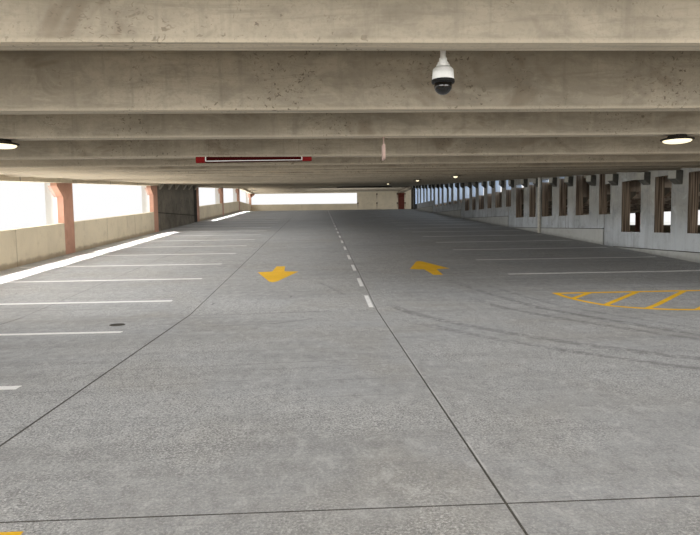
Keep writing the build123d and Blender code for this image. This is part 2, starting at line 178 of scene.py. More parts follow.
class Wire:
    """An output socket, with arithmetic on values written as Python expressions."""

    def __init__(self, recipe, socket):
        self.recipe = recipe
        self.socket = socket

    def _do(self, operation, first, second=None, clamp=False):
        values = {0: first} if second is None else {0: first, 1: second}
        return self.recipe.node(
            "ShaderNodeMath", {"operation": operation, "use_clamp": clamp}, values)

    def __add__(self, other):
        return self._do("ADD", self, other)

    __radd__ = __add__

    def __sub__(self, other):
        return self._do("SUBTRACT", self, other)

    def __mul__(self, other):
        return self._do("MULTIPLY", self, other)

    __rmul__ = __mul__

    def __truediv__(self, other):
        return self._do("DIVIDE", self, other)

    def __pow__(self, other):
        return self._do("POWER", self, other)

    def __abs__(self):
        return self._do("ABSOLUTE", self)

    def clamped(self):
        return self._do("ADD", self, 0.0, clamp=True)


class Recipe:
    """A material and the few ways its nodes are added.

    Where a method takes a colour, a number stands for the base colour times that number.
    """

    def __init__(self, name, roughness, base=None):
        self.material = bpy.data.materials.new(name)
        self.material.use_nodes = True
        self.tree = self.material.node_tree
        self.shader = self.tree.nodes["Principled BSDF"]
        self.shader.inputs["Roughness"].default_value = roughness
        self.base = base
        self.place = self.node("ShaderNodeTexCoord", output="Object")
        self.facing = self.node("ShaderNodeTexCoord", output="Normal")

    def node(self, kind, settings=None, inputs=None, output=0):
        made = self.tree.nodes.new(kind)
        for name, value in (settings or {}).items():
            setattr(made, name, value)
        for name, value in (inputs or {}).items():
            self.join(value, made.inputs[name])
        return Wire(self, made.outputs[output])

    def join(self, value, socket):
        if isinstance(value, Wire):
            self.tree.links.new(value.socket, socket)
        elif socket.type == "RGBA":
            socket.default_value = (*value, 1.0)
        else:
            socket.default_value = value

    def second_shader(self, share):
        """Lays another shader over the first one where the share says so."""
        first = self.shader
        self.shader = self.tree.nodes.new("ShaderNodeBsdfPrincipled")
        blend = self.node("ShaderNodeMixShader", None, {
            0: share, 1: Wire(self, first.outputs[0]), 2: Wire(self, self.shader.outputs[0])})
        self.join(blend, self.tree.nodes["Material Output"].inputs[0])

    def feed(self, socket, value):
        self.join(value, self.shader.inputs[socket])

    def part(self, axis):
        return self.node("ShaderNodeSeparateXYZ", None, {0: self.place}, axis)

    def turned_to(self, axis):
        return self.node("ShaderNodeSeparateXYZ", None, {0: self.facing}, axis)

    def noise(self, scale, detail=3.0, roughness=0.5, stretch=None, distortion=0.0):
        place = self.place
        if stretch:
            place = self.node("ShaderNodeMapping", None, {"Vector": place, "Scale": stretch})
        return self.node(
            "ShaderNodeTexNoise", None,
            {"Vector": place, "Scale": scale, "Detail": detail, "Roughness": roughness,
             "Distortion": distortion})

    def between(self, value, low, high, new_low=0.0, new_high=1.0):
        return self.node(
            "ShaderNodeMapRange", {"interpolation_type": "SMOOTHSTEP"},
            {"Value": value, "From Min": low, "From Max": high,
             "To Min": new_low, "To Max": new_high})

    def mix(self, share, first, second):
        first, second = (
            scaled(self.base, c) if isinstance(c, float) else c for c in (first, second))
        return self.node(
            "ShaderNodeMix", {"data_type": "RGBA"}, {0: share, 6: first, 7: second}, 2)

    def blend(self, value, low, high, first, second):
        """From the first colour to the second as the value goes from low to high."""
        return self.mix(self.between(value, low, high), first, second)

    def coats(self, tone, *rows):
        """Lays colours over a tone, by rows of value, low, high, share and colour."""
        for value, low, high, share, colour in rows:
            tone = self.mix(self.between(value, low, high) * share, tone, colour)
        return tone

    def surface(self, colour, gloss, height, distance, strength):
        """Joins a colour, a roughness between two limits and a bump to the shader."""
        self.feed("Base Color", colour)
        self.feed("Roughness", self.between(*gloss))
        self.feed("Normal", self.node(
            "ShaderNodeBump", None,
            {"Height": height, "Distance": distance, "Strength": strength}))
        return self.material

    def cast_surface(self, colour, grain, relief, dull=0.9, smooth=0.74):
        """The surface of cast concrete, from its fine grain and its broader relief."""
        gloss = (grain, 0.3, 0.7, dull, smooth)
        return self.surface(colour, gloss, grain * 0.3 + relief * 0.4, 0.004, 0.5)


def pits_in(recipe, scale, rarity):
    """Ragged air holes that come in clusters."""
    cluster = recipe.between(recipe.noise(scale * 0.05, 3.0), 0.47, 0.62)
    spots = recipe.noise(scale, 2.0, 0.6, None, 0.6)
    return recipe.between(spots, rarity, rarity + 0.05) * cluster


def ticks_in(recipe, scale, width):
    """Short curled scrapes: broken stretches of a noise's contour lines, in clusters."""
    contour = abs(recipe.noise(scale, 1.0, 0.5, (0.7, 1.0, 1.3), 0.8) - 0.5)
    where = recipe.between(recipe.noise(scale * 0.08, 3.0, 0.6), 0.50, 0.62)
    broken = recipe.between(recipe.noise(scale * 1.7, 1.0, 0.5), 0.50, 0.58)
    return recipe.between(contour, width, width * 0.3) * (where * broken)


def climb(recipe):
    """Share of the ramp that lies south of a place."""
    return ((recipe.part("Y") - RAMP_START) / RUN).clamped()


def over_deck(recipe):
    """Height above the west deck."""
    return recipe.part("Z") - climb(recipe) * RISE - GROUND


def broom_look(recipe, colour):
    """Colour and height of a broomed deck."""
    recipe.base = colour
    grain = recipe.noise(120.0, 3.0, 0.75)
    gravel = recipe.noise(44.0, 3.0, 0.75)
    worms = abs(recipe.noise(34.0, 2.0, 0.6, None, 1.0) - 0.5)
    speckle = recipe.noise(1.0, 3.0, 0.8, (15.0, 9.0, 1.0), 0.4)
    bands = recipe.noise(1.0, 3.0, 0.6, (0.3, 6.5, 0.2), 0.3)
    tint = recipe.noise(0.8, 3.0, 0.5, (1.0, 1.4, 1.0))
    patch = recipe.noise(1.7, 4.0, 0.65)
    warm = recipe.noise(1.1, 2.0, 0.6, None, 0.4)
    strokes = recipe.noise(1.0, 3.0, 0.7, (1.6, 60.0, 1.0))
    rough = recipe.between(recipe.noise(0.9, 2.0, 0.65, None, 0.3), 0.40, 0.60, 0.30, 1.0)
    tone = recipe.coats(
        recipe.blend(recipe.noise(0.45, 3.0, 0.6), 0.3, 0.7, 0.93, 1.06),
        (tint, 0.35, 0.65, 0.5, tinted(colour, COOL_TINT, 0.3)),
        (patch, 0.48, 0.75, 0.35, 0.80),
        (warm, 0.50, 0.66, 0.35, tinted(scaled(colour, 0.9), WARM_TINT, 0.6)),
        (bands, 0.46, 0.66, 0.55, 0.72),
        (bands, 0.44, 0.30, 0.40, 1.16),
        (strokes, 0.42, 0.66, 0.34, 0.76),
        (gravel, 0.50, 0.38, rough * 0.65, 0.62),
        (speckle, 0.48, 0.36, 0.40, 0.60),
        (speckle, 0.53, 0.66, 0.40, 1.45),
        (grain, 0.47, 0.36, rough * 0.90, 0.40),
        (grain, 0.54, 0.64, rough * 0.95, 1.95),
        (worms, 0.030, 0.008, rough * 0.60, 1.55))
    return tone, grain * 0.7 + gravel * 0.4


def ring_mark(recipe, centre, radius, width, start, end):
    """A tyre's curved trace on the deck, between two bearings."""
    x = recipe.part("X") - centre[0]
    y = recipe.part("Y") - centre[1]
    away = (x * x + y * y) ** 0.5
    bearing = recipe.node("ShaderNodeMath", {"operation": "ARCTAN2"}, {0: y, 1: x})
    trace = recipe.between(abs(away - radius), width, width * 0.35)
    first = recipe.between(bearing, start, start + 0.12)
    return trace * (first * recipe.between(bearing, end, end - 0.12))


def line_mark(recipe, start, end, width):
    """A straight smear between two places on the deck, fading at its ends."""
    length = math.dist(start, end)
    ux, uy = (end[0] - start[0]) / length, (end[1] - start[1]) / length
    x = recipe.part("X") - start[0]
    y = recipe.part("Y") - start[1]
    along = x * ux + y * uy
    across = recipe.between(abs(x * uy - y * ux), width, width * 0.3)
    fade = min(0.06, length)
    first = recipe.between(along, -fade, fade * 0.5)
    return across * first * recipe.between(along, length + fade, length - fade * 0.5)


# Tyre traces: centre, radius, half width, first and last bearing, strength
TYRE_MARKS = (
    ((8.46, -9.78), 12.45, 0.060, -2.99, -2.55, 0.60),
    ((8.46, -9.78), 12.22, 0.045, -2.98, -2.55, 0.40),
    ((4.62, -10.53), 8.86, 0.060, -2.89, -2.40, 0.60),
    ((4.62, -10.53), 8.62, 0.035, -2.85, -2.40, 0.35),
    ((-0.29, -12.38), 4.45, 0.070, -2.95, -2.05, 0.60),
    ((-0.29, -12.38), 4.70, 0.030, -2.80, -2.05, 0.35),
    ((-0.45, -12.62), 4.40, 0.045, -2.79, -2.05, 0.50),
    ((-4.64, -15.10), 2.24, 0.040, 0.10, 0.90, 0.35),
)

# Straight dark smears and spots on the deck: two ends, half width, strength
FLOOR_SMEARS = (
    ((-6.33, -13.80), (-5.17, -13.69), 0.016, 0.55),
    ((-6.05, -14.34), (-5.55, -14.26), 0.030, 0.35),
    ((-5.58, -14.27), (-5.25, -14.05), 0.030, 0.30),
    ((-5.66, -15.59), (-5.02, -15.54), 0.007, 0.60),
    ((-5.26, -12.05), (-5.09, -12.61), 0.035, 0.26),
    ((-5.10, -12.58), (-4.95, -13.04), 0.035, 0.22),
    ((-6.240, -13.290), (-6.234, -13.230), 0.014, 0.95),
    ((-5.533, -12.985), (-5.529, -12.925), 0.013, 0.95),
    ((-5.52, -15.72), (-4.90, -15.66), 0.006, 0.62),
    ((-5.25, -15.97), (-4.87, -15.95), 0.005, 0.55),
    ((-5.31, -16.24), (-4.92, -16.23), 0.005, 0.45),
    ((-6.60, -16.05), (-5.60, -15.93), 0.008, 0.40),
    ((-6.35, -15.65), (-5.62, -15.60), 0.006, 0.45),
    ((-7.60, -15.35), (-6.75, -15.30), 0.010, 0.30),
    ((-4.30, -11.63), (-3.35, -11.52), 0.020, 0.45),
)

MIDDLE_JOINT = -4.7535
CHIPPED_EDGE = -4.7455


def deck_material(name, colour):
    """Broomed deck with tyre traces, smears and a chipped edge along the middle joint."""
    recipe = Recipe(name, 0.88)
    tone, height = broom_look(recipe, colour)
    wear = recipe.between(recipe.noise(20.0, 2.0, 0.7), 0.33, 0.60)
    for *trace, strength in TYRE_MARKS:
        tone = recipe.mix(ring_mark(recipe, *trace) * (wear * strength), tone, 0.45)
    for *smear, strength in FLOOR_SMEARS:
        tone = recipe.mix(line_mark(recipe, *smear) * strength, tone, 0.45)
    chipped = recipe.between(recipe.noise(6.0, 3.0, 0.7), 0.42, 0.55)
    edge = abs(recipe.part("X") - CHIPPED_EDGE)
    tone = recipe.coats(tone, (edge, 0.0040, 0.0018, chipped * 0.6, 1.55))
    return recipe.surface(tone, (height, 0.3, 0.8, 0.92, 0.78), height, 0.004, 0.7)


def ceiling_material(name, colour, deck_colour):
    """Cast tees: stained stems and soffits below with painted shade and light, broomed deck on
    top.
    """
    recipe = Recipe(name, 0.85, colour)
    up_stem = over_deck(recipe) - SOFFIT
    blotch = recipe.noise(2.4, 5.0, 0.72, (0.8, 1.0, 1.5), 0.9)
    mottle = recipe.noise(9.0, 4.0, 0.72, (0.8, 1.0, 1.2), 0.5)
    drips = recipe.noise(1.0, 4.0, 0.65, (20.0, 3.0, 1.3), 0.3)
    smears = recipe.noise(1.0, 5.0, 0.72, (1.5, 2.0, 17.0), 1.0)
    stains = recipe.noise(1.5, 4.0, 0.74, (1.0, 1.0, 1.6), 0.8)
    grain = recipe.noise(70.0, 3.0, 0.75)
    brown = tinted(scaled(colour, 0.55), linear(110, 82, 52), 0.45)
    side = recipe.between(abs(recipe.turned_to("Y")), 0.5, 0.9)
    edge = recipe.between(recipe.noise(2.0, 2.0, 0.7, None, 0.5), 0.2, 0.8, -0.03, 0.03)
    # Painted light from below for the stems' soffits, in streaks
    streaks = recipe.noise(1.0, 3.0, 0.7, (1.2, 45.0, 1.0), 0.4)
    painted_soffit_light = recipe.blend(streaks, 0.42, 0.62, 1.55, 1.02)
    tone = recipe.coats(
        recipe.blend(recipe.noise(0.8, 4.0, 0.62, None, 0.5), 0.34, 0.66, 0.78, 1.12),
        (blotch, 0.50, 0.66, 0.50, 0.60),
        (blotch, 0.46, 0.34, 0.40, 1.26),
        (mottle, 0.50, 0.66, 0.40, 0.60),
        (mottle, 0.46, 0.34, 0.30, 1.30),
        (drips, 0.52, 0.70, 0.38, 0.60),
        (smears, 0.52, 0.68, 0.48, 0.62),
        (smears, 0.45, 0.32, 0.40, 1.24),
        (stains, 0.56, 0.68, 0.50, brown),
        # Painted shadow, with some staining, darkens the upper part of the stems' sides
        (up_stem + edge, 0.205, 0.265, side * 0.45, 0.52),
        # Painted highlight along the lower edges of the stems' sides
        (up_stem, 0.018, 0.004, side * 0.6, 1.4),
        # Painted light from below lightens the soffits
        (up_stem, 0.02, 0.01, recipe.between(recipe.turned_to("Z"), -0.6, -0.9) * 0.8, painted_soffit_light))
    tone = recipe.mix(pits_in(recipe, 52.0, 0.62) * 0.8, tone, scaled(brown, 0.6))
    tone = recipe.mix(ticks_in(recipe, 34.0, 0.034) * 0.55, tone, scaled(brown, 0.7))
    # Painted shade darkens a stretch to the right; painted light brightens one over the west side
    # and the ribbed stem sides past the wall
    x, y, z = (recipe.part(axis) for axis in "XYZ")
    ribs = recipe.noise(1.0, 2.0, 0.5, (5.0, 0.6, 0.3))
    screen = recipe.blend(ribs, 0.44, 0.58, linear(150, 132, 116), linear(214, 198, 180))
    tone = recipe.coats(
        tone,
        (grain, 0.50, 0.64, 0.25, 0.62),
        # Painted shade over the right-hand stretch
        (x, -5.2, -1.5, recipe.between(y, -14.6, -12.0) * 0.50, 0.34),
        # Painted light over the west side
        (x, -6.6, -8.6, recipe.between(y, -14.6, -12.8) * 0.8, 1.70),
        # Painted light on the ribbed stem sides past the wall
        (x, 0.10, 0.14, recipe.between(z, 1.81, 1.79) * side, screen))
    recipe.surface(tone, (grain, 0.3, 0.7, 0.9, 0.74), grain * 0.2 + blotch * 0.5, 0.006, 0.7)
    recipe.second_shader(recipe.between(recipe.turned_to("Z"), 0.5, 0.9))
    tone, height = broom_look(recipe, deck_colour)
    return recipe.surface(tone, (height, 0.2, 0.6, 0.92, 0.78), height, 0.004, 0.7)


def corbel_material(name, colour):
    """Cast corbels: painted light on the pale ends, painted shade on the dark sides."""
    recipe = Recipe(name, 0.85, colour)
    cloud = recipe.noise(6.0, 5.0, 0.65, None, 0.4)
    grain = recipe.noise(70.0, 3.0, 0.7)
    pale = recipe.blend(cloud, 0.35, 0.65, 1.05, 1.30)
    dark = recipe.blend(cloud, 0.35, 0.65, 0.24, 0.42)
    # Painted light on the west-facing ends, painted shade on the other faces
    tone = recipe.blend(abs(recipe.turned_to("X")), 0.75, 0.95, dark, pale)
    return recipe.cast_surface(tone, grain, cloud)


def reveal_lines(recipe, half):
    """The upright reveals, one at every joint of the tees."""
    along = (recipe.part("Y") - SOUTH) / TEE
    nearest = recipe.node("ShaderNodeMath", {"operation": "ROUND"}, {0: along})
    facing = recipe.between(abs(recipe.turned_to("X")), 0.3, 0.8)
    return recipe.between(abs(along - nearest) * TEE, half, half * 0.4) * facing


# Connection plates on the end wall's face: across and up
WALL_PLATES = ((-1.568, 2.74), (-1.568, 2.17), (-2.79, 2.18), (-0.250, 2.74), (0.250, 2.74),
               (-0.250, 2.16), (0.250, 2.16))
PLATE_SIZE = 0.085


def rust_runs(recipe):
    """Rust that ran down the end wall from its connection plates."""
    runs = 0.0
    up = recipe.part("Z")
    for x, z in WALL_PLATES:
        wave = recipe.noise(9.0, 2.0, 0.5) * 0.04 - 0.02
        line = recipe.between(abs(recipe.part("X") - x + wave), 0.035, 0.010)
        drop = recipe.between(up, z - 0.42, z - 0.10) * recipe.between(up, z + 0.02, z)
        runs = line * drop + runs
    return runs * recipe.between(recipe.part("Y"), 19.0, 19.1)


def panel_material(name, colour, stain, pours=0.3, drip=0.15, foot=0.5, reveals=False):
    """Cast panels: cloudy colour, faint drip streaks, air holes, a dirty foot."""
    recipe = Recipe(name, 0.82, colour)
    blotch = recipe.noise(4.0, 5.0, 0.65, None, 0.5)
    drips = recipe.noise(1.0, 5.0, 0.62, (7.0, 7.0, 0.6), 0.25)
    grain = recipe.noise(70.0, 3.0, 0.7)
    level = abs(over_deck(recipe)) - recipe.noise(7.0, 4.0, 0.7) * 0.10
    tone = recipe.coats(
        recipe.blend(recipe.noise(0.9, 5.0, 0.6, None, 0.3), 0.32, 0.68, 0.92, 1.05),
        (blotch, 0.48, 0.78, pours, stain),
        (drips, 0.52, 0.80, drip, stain),
        (level, 0.03, -0.05, foot, scaled(stain, 0.55)))
    tone = recipe.mix(pits_in(recipe, 60.0, 0.67) * 0.5, tone, scaled(stain, 0.5))
    tone = recipe.coats(tone, (grain, 0.52, 0.7, 0.15, 0.75))
    if reveals:
        tone = recipe.mix(reveal_lines(recipe, 0.013) * 0.95, tone, scaled(stain, 0.30))
        tone = recipe.coats(tone, (level, 0.05, 0.0, 0.45, linear(118, 92, 58)))
        tone = recipe.mix(rust_runs(recipe).clamped() * 0.7, tone, linear(96, 58, 34))
    return recipe.cast_surface(tone, grain, blotch, 0.88, 0.70)


def column_material(name, colour, stain):
    """Coloured concrete, with painted light, nearly white, on the outer part of its north and
    south faces.
    """
    recipe = Recipe(name, 0.82, colour)
    cloud = recipe.noise(1.2, 5.0, 0.62, None, 0.4)
    blotch = recipe.noise(5.0, 5.0, 0.65, None, 0.5)
    drips = recipe.noise(1.0, 5.0, 0.62, (9.0, 9.0, 0.6), 0.25)
    grain = recipe.noise(70.0, 3.0, 0.7)
    outer = recipe.part("X")
    flank = recipe.between(abs(recipe.turned_to("Y")), 0.5, 0.9)
    # Painted light: the outer part stands nearly white
    painted_outdoor_light = recipe.blend(cloud, 0.4, 0.6, linear(248, 246, 240), linear(252, 252, 250))
    tone = recipe.coats(
        recipe.blend(cloud, 0.32, 0.68, 0.90, 1.08),
        (blotch, 0.48, 0.75, 0.4, stain),
        (drips, 0.50, 0.76, 0.3, 1.25),
        (grain, 0.52, 0.7, 0.2, 0.7),
        (outer, -SIDE - 0.095, -SIDE - 0.115, flank, painted_outdoor_light))
    return recipe.cast_surface(tone, grain, blotch, 0.88, 0.70)


def shear_wall_material(name, colour, stain):
    """Dark closed panels with one level joint and a nearly black upright strip at the north end.
    """
    recipe = Recipe(name, 0.84, colour)
    cloud = recipe.noise(1.6, 5.0, 0.65, None, 0.5)
    blotch = recipe.noise(6.0, 6.0, 0.7, None, 0.6)
    drips = recipe.noise(1.0, 5.0, 0.62, (9.0, 9.0, 0.7), 0.25)
    grain = recipe.noise(70.0, 3.0, 0.7)
    tone = recipe.coats(
        recipe.blend(cloud, 0.35, 0.65, 0.80, 1.20),
        (blotch, 0.46, 0.66, 0.5, stain),
        (drips, 0.50, 0.72, 0.4, 0.65),
        (over_deck(recipe) + cloud * 0.2, 0.75, 1.05, 0.35, 1.45),
        (abs(recipe.part("Z") - 1.21), 0.016, 0.008, 0.8, scaled(stain, 0.25)),
        (recipe.part("Y"), 1.95, 2.10, 0.9, scaled(stain, 0.12)))
    return recipe.cast_surface(tone, grain, blotch)


def middle_wall_material(name, colour):
    """Cool grey wall, paler and bluer below from painted light, warm and stained above, with dark
    reveals from painted shade.
    """
    recipe = Recipe(name, 0.8, colour)
    cloud = recipe.noise(1.3, 5.0, 0.62, None, 0.5)
    blotch = recipe.noise(4.5, 6.0, 0.68, None, 0.6)
    streaks = recipe.noise(1.0, 5.0, 0.65, (9.0, 9.0, 0.9), 0.3)
    runs = recipe.noise(1.0, 4.0, 0.6, (16.0, 16.0, 0.6), 0.2)
    grain = recipe.noise(70.0, 3.0, 0.7)
    height = over_deck(recipe)
    y = recipe.part("Y")
    # Painted light: the wall turns paler and bluer towards its foot
    low = recipe.between(height + cloud * 0.3, 0.95, 0.35)
    warm = scaled(tinted(colour, WARM_TINT, 0.5), 1.15)
    tone = recipe.coats(
        recipe.mix(low, warm, tinted(scaled(colour, 1.85), COOL_TINT, 0.35)),
        (cloud, 0.35, 0.65, 0.4, 0.80),
        (blotch, 0.50, 0.66, 0.5, 0.58),
        (streaks, 0.50, 0.68, 0.5, 0.55),
        (blotch, 0.46, 0.32, 0.5, 1.6),
        # More painted light low on the wall, towards the south end and along the runs
        (y, -7.5, -11.0, low * 0.6, tinted(scaled(colour, 2.3), COOL_TINT, 0.3)),
        (runs, 0.54, 0.68, low * 0.55, tinted(scaled(colour, 2.0), COOL_TINT, 0.4)),
        (height - recipe.noise(7.0, 4.0, 0.7) * 0.12, 0.04, -0.06, 0.5, 0.45))
    tone = recipe.mix(pits_in(recipe, 60.0, 0.66) * 0.6, tone, 0.35)
    # The last panel's north end lies in the dark
    last = recipe.between(y, 13.60, 13.55) * 0.93
    tone = recipe.coats(tone, (y, 12.50, 12.58, last, linear(20, 17, 14)))
    # The openings' sides carry painted shade, brown, under the east deck and painted sky light,
    # pale, over it
    over_east = recipe.part("Z") - (GROUND + STOREY) + climb(recipe) * EAST_FALL
    ribs = recipe.noise(1.0, 2.0, 0.5, (70.0, 70.0, 1.0))
    brown = recipe.blend(ribs, 0.42, 0.58, linear(96, 82, 70), linear(172, 154, 134))
    pale = recipe.blend(streaks, 0.4, 0.7, linear(206, 218, 236), linear(232, 236, 240))
    painted_jamb_light = recipe.blend(over_east, -0.01, 0.02, brown, pale)
    tone = recipe.blend(abs(recipe.turned_to("X")), 0.6, 0.3, tone, painted_jamb_light)
    return recipe.cast_surface(tone, grain, blotch, 0.88, 0.70)


def paint_material(name, colour, worn_to, wear):
    """Traffic paint, thin and scuffed, with the concrete's grain showing through."""
    recipe = Recipe(name, 0.7, colour)
    scuff = recipe.noise(26.0, 5.0, 0.75)
    broad = recipe.noise(3.0, 4.0, 0.6)
    grain = recipe.noise(95.0, 3.0, 0.7)
    tone = recipe.coats(
        recipe.blend(broad, 0.3, 0.7, 0.86, colour),
        (grain, 0.55, 0.72, 0.3, worn_to),
        (scuff * 0.6 + broad * 0.4, 0.50, 0.66, wear, worn_to))
    return recipe.surface(tone, (scuff, 0.3, 0.7, 0.62, 0.85), grain, 0.0015, 0.5)


def coated_material(name, screen, roughness, metallic=0.0, dust=0.25, coat=0.0, shine=0.5):
    """Painted or plated fittings with dust, scratches and slightly uneven gloss."""
    recipe = Recipe(name, roughness, screen)
    cloud = recipe.noise(14.0, 4.0, 0.6)
    scratch = recipe.noise(1.0, 3.0, 0.7, (12.0, 160.0, 40.0))
    speck = recipe.noise(240.0, 2.0, 0.6)
    tone = recipe.coats(
        recipe.blend(cloud, 0.3, 0.7, 0.86, 1.08),
        (speck, 0.56, 0.7, dust, linear(150, 142, 128)),
        (scratch, 0.6, 0.75, 0.2, 0.6))
    recipe.shader.inputs["Metallic"].default_value = metallic
    recipe.shader.inputs["Coat Weight"].default_value = coat
    recipe.shader.inputs["Specular IOR Level"].default_value = shine
    return recipe.surface(
        tone, (cloud, 0.3, 0.7, roughness, roughness + 0.14), cloud * 0.5 + speck * 0.2,
        0.0008, 0.4)


def lens_material():
    """The lit lens of a ceiling light, a little uneven."""
    recipe = Recipe("lamp_lens", 0.3)
    ribs = recipe.noise(60.0, 2.0, 0.5)
    recipe.feed("Base Color", recipe.mix(ribs, linear(236, 228, 200), linear(255, 250, 235)))
    recipe.feed("Emission Color", recipe.mix(ribs, linear(255, 232, 176), linear(255, 246, 214)))
    recipe.shader.inputs["Emission Strength"].default_value = 1.25
    return recipe.material


# Coated fittings: material, screen colour, roughness, metallic, dust, coat, shine
COATED = {
    "sealant": ("joint_sealant", (76, 74, 70), 0.75, 0.0, 0.6),
    "zinc": ("zinc_rods", (150, 150, 152), 0.45, 0.9),
    "white_paint": ("white_housing", (226, 225, 220), 0.42, 0.0, 0.15),
    "dome": ("smoked_dome", (7, 7, 8), 0.06, 0.0, 0.02, 0.8),
    "bead": ("foot_strip_bead", (74, 72, 68), 0.8, 0.0, 0.4),
    "bar_rods": ("bar_hanger_rods", (120, 111, 94), 0.8, 0.0, 0.3),
    "sign": ("sign_enamel", (196, 168, 156), 0.6, 0.0, 0.2),
    "pale_case": ("pale_lamp_case", (128, 120, 104), 0.7, 0.0, 0.3),
    "black_ring": ("black_ring", (14, 14, 15), 0.4, 0.0, 0.05),
    "dark_red": ("dark_red_paint", (52, 2, 3), 0.8, 0.0, 0.02, 0.0, 0.1),
    "rusty": ("rusty_steel", (74, 44, 30), 0.8, 0.3, 0.5),
    "lamp_case": ("lamp_case", (38, 32, 24), 0.7, 0.1),
    "drain": ("drain_plastic", (206, 202, 190), 0.55, 0.0, 0.3),
    "pipe": ("dark_pipe_paint", (62, 56, 50), 0.5, 0.2, 0.3),
    "iron": ("cast_iron", (96, 93, 88), 0.7, 0.3, 0.3),
}


def main_materials():
    """Every material by its plain name."""
    colours = bpy.context.scene.car_park_colours
    ceiling, floor, cream, salmon, wall, dark, brown, white, yellow, red = (
        tuple(getattr(colours, name)) for name in CarParkColours.__annotations__)
    soot = linear(58, 54, 48)
    made = {
        "floor": deck_material("broomed_floor", floor),
        "tees": ceiling_material("stained_tees", ceiling, floor),
        "cream": panel_material(
            "cream_panels", cream, linear(168, 154, 126), 0.35, 0.2, 0.35, True),
        "salmon": column_material("salmon_columns", salmon, linear(150, 104, 84)),
        "shear": shear_wall_material("closed_bay_panels", dark, soot),
        "ledge_corbels": panel_material(
            "pale_corbels", linear(186, 178, 160), linear(120, 112, 98), 0.4, 0.3),
        "corbels": corbel_material("wall_corbels", linear(150, 148, 138)),
        "wall": middle_wall_material("cool_grey_wall", wall),
        "dark": panel_material("dark_panels", dark, soot, 0.6, 0.6),
        "brown": panel_material("red_brown_column", brown, linear(70, 34, 26), 0.4, 0.4),
        "strip": panel_material(
            "foot_strip_concrete", tinted(scaled(wall, 1.34), linear(214, 206, 188), 0.18),
            linear(140, 138, 130), 0.35, 0.3),
        "white_line": paint_material("white_line_paint", white, scaled(floor, 0.95), 0.35),
        "yellow_line": paint_material("yellow_line_paint", yellow, scaled(floor, 0.9), 0.22),
        "red": coated_material("red_bar_paint", red, 0.7, 0.0, 0.03, 0.0, 0.2),
        "lens": lens_material(),
    }
    for key, (name, screen, *finish) in COATED.items():
        made[key] = coated_material(name, linear(*screen), *finish)
    return made


NODE_FINISHES = {
    "floor": ("ground_slab_west", "ground_slab_east", "west_ramp_base", "west_ramp_tees"),
    "tees": ("west_upper_landing_tees", "west_ceiling_tees_south", "west_ceiling_tees_north",
             "east_upper_landing_tees", "east_ramp_tees_south", "east_ramp_tees_north",
             "cross_beams"),
    "cream": ("west_lower_walls", "west_upper_spandrels", "east_lower_walls",
              "east_deck_spandrels", "south_spandrels", "south_low_wall", "north_lower_wall",
              "north_upper_spandrel", "north_solid_wall", "north_east_wall"),
    "salmon": ("west_columns", "east_columns", "south_columns"),
    "wall": tuple("middle_wall_panel_%d" % bay for bay in range(2, 7)),
    "shear": ("west_shear_wall", "east_shear_wall"),
    "ledge_corbels": ("shear_wall_corbels",),
    # The cross beams' columns take the dark concrete as painted shade
    "dark": ("middle_wall_corbels_west", "middle_wall_corbels_east", "cross_beam_columns"),
    "brown": ("north_brown_column",),
    "lens": ("ceiling_lights",),
    "zinc": ("camera_pendant",),
    "bar_rods": ("height_bar_hangers",),
    "white_paint": ("camera_housing",),
    "sign": ("hanging_sign",),
    "dome": ("camera_dome",),
    "red": ("height_bar",),
    "drain": ("drain_pipe",),
    "pipe": ("ceiling_pipe",),
}

MATERIALS = {}


# Modelling helpers

SINK = 0.0002
GAP = 0.0004
MERGE = 0.00002


def only(*pieces):
    """Selects these objects alone and makes the first one active."""
    bpy.ops.object.select_all(action="DESELECT")
    for piece in pieces:
        piece.select_set(True)
    bpy.context.view_layer.objects.active = pieces[0]


def named(name):
    """The new active object, under its name."""
    piece = bpy.context.object
    piece.name = name
    piece.data.name = name
    return piece


def block(name, low, high):
    """A box primitive between two corners, its place applied to its mesh."""
    bpy.ops.object.select_all(action="DESELECT")
    centre = [(a + b) / 2 for a, b in zip(low, high)]
    size = [b - a for a, b in zip(low, high)]
    bpy.ops.mesh.primitive_cube_add(size=1, location=centre, scale=size)
    piece = named(name)
    bpy.ops.object.transform_apply(location=True, rotation=True, scale=True)
    return piece


def edited(piece, *steps):
    """Runs each step in edit mode on the whole mesh."""
    only(piece)
    bpy.ops.object.mode_set(mode="EDIT")
    for step in steps:
        bpy.ops.mesh.select_all(action="SELECT")
        step()
    bpy.ops.object.mode_set(mode="OBJECT")


def merge_close():
    bpy.ops.mesh.remove_doubles(threshold=MERGE)


def face_outwards():
    bpy.ops.mesh.normals_make_consistent(inside=False)


def edit_part(piece, chosen, step, kind="VERT"):
    """Runs a step in edit mode on the elements that the test picks."""
    only(piece)
    bpy.ops.object.mode_set(mode="EDIT")
    bpy.ops.mesh.select_mode(type=kind)
    bpy.ops.mesh.select_all(action="DESELECT")
    mesh = bmesh.from_edit_mesh(piece.data)
    found = [e for e in (mesh.faces if kind == "FACE" else mesh.verts) if chosen(e)]
    for element in found:
        element.select_set(True)
    mesh.select_flush_mode()
    bmesh.update_edit_mesh(piece.data)
    if found:
        step()
    bpy.ops.object.mode_set(mode="OBJECT")
    if not found:
        raise RuntimeError("nothing was selected on " + piece.name)


def turn_part(piece, chosen, angle, centre):
    """Turns the picked vertices about the X axis, upwards for a positive angle."""
    edit_part(piece, chosen, lambda: bpy.ops.transform.rotate(
        value=-angle, orient_axis="X", orient_type="GLOBAL", center_override=centre))


def everything(vertex):
    return True


def move(piece, offset):
    piece.data.transform(Matrix.Translation(offset))


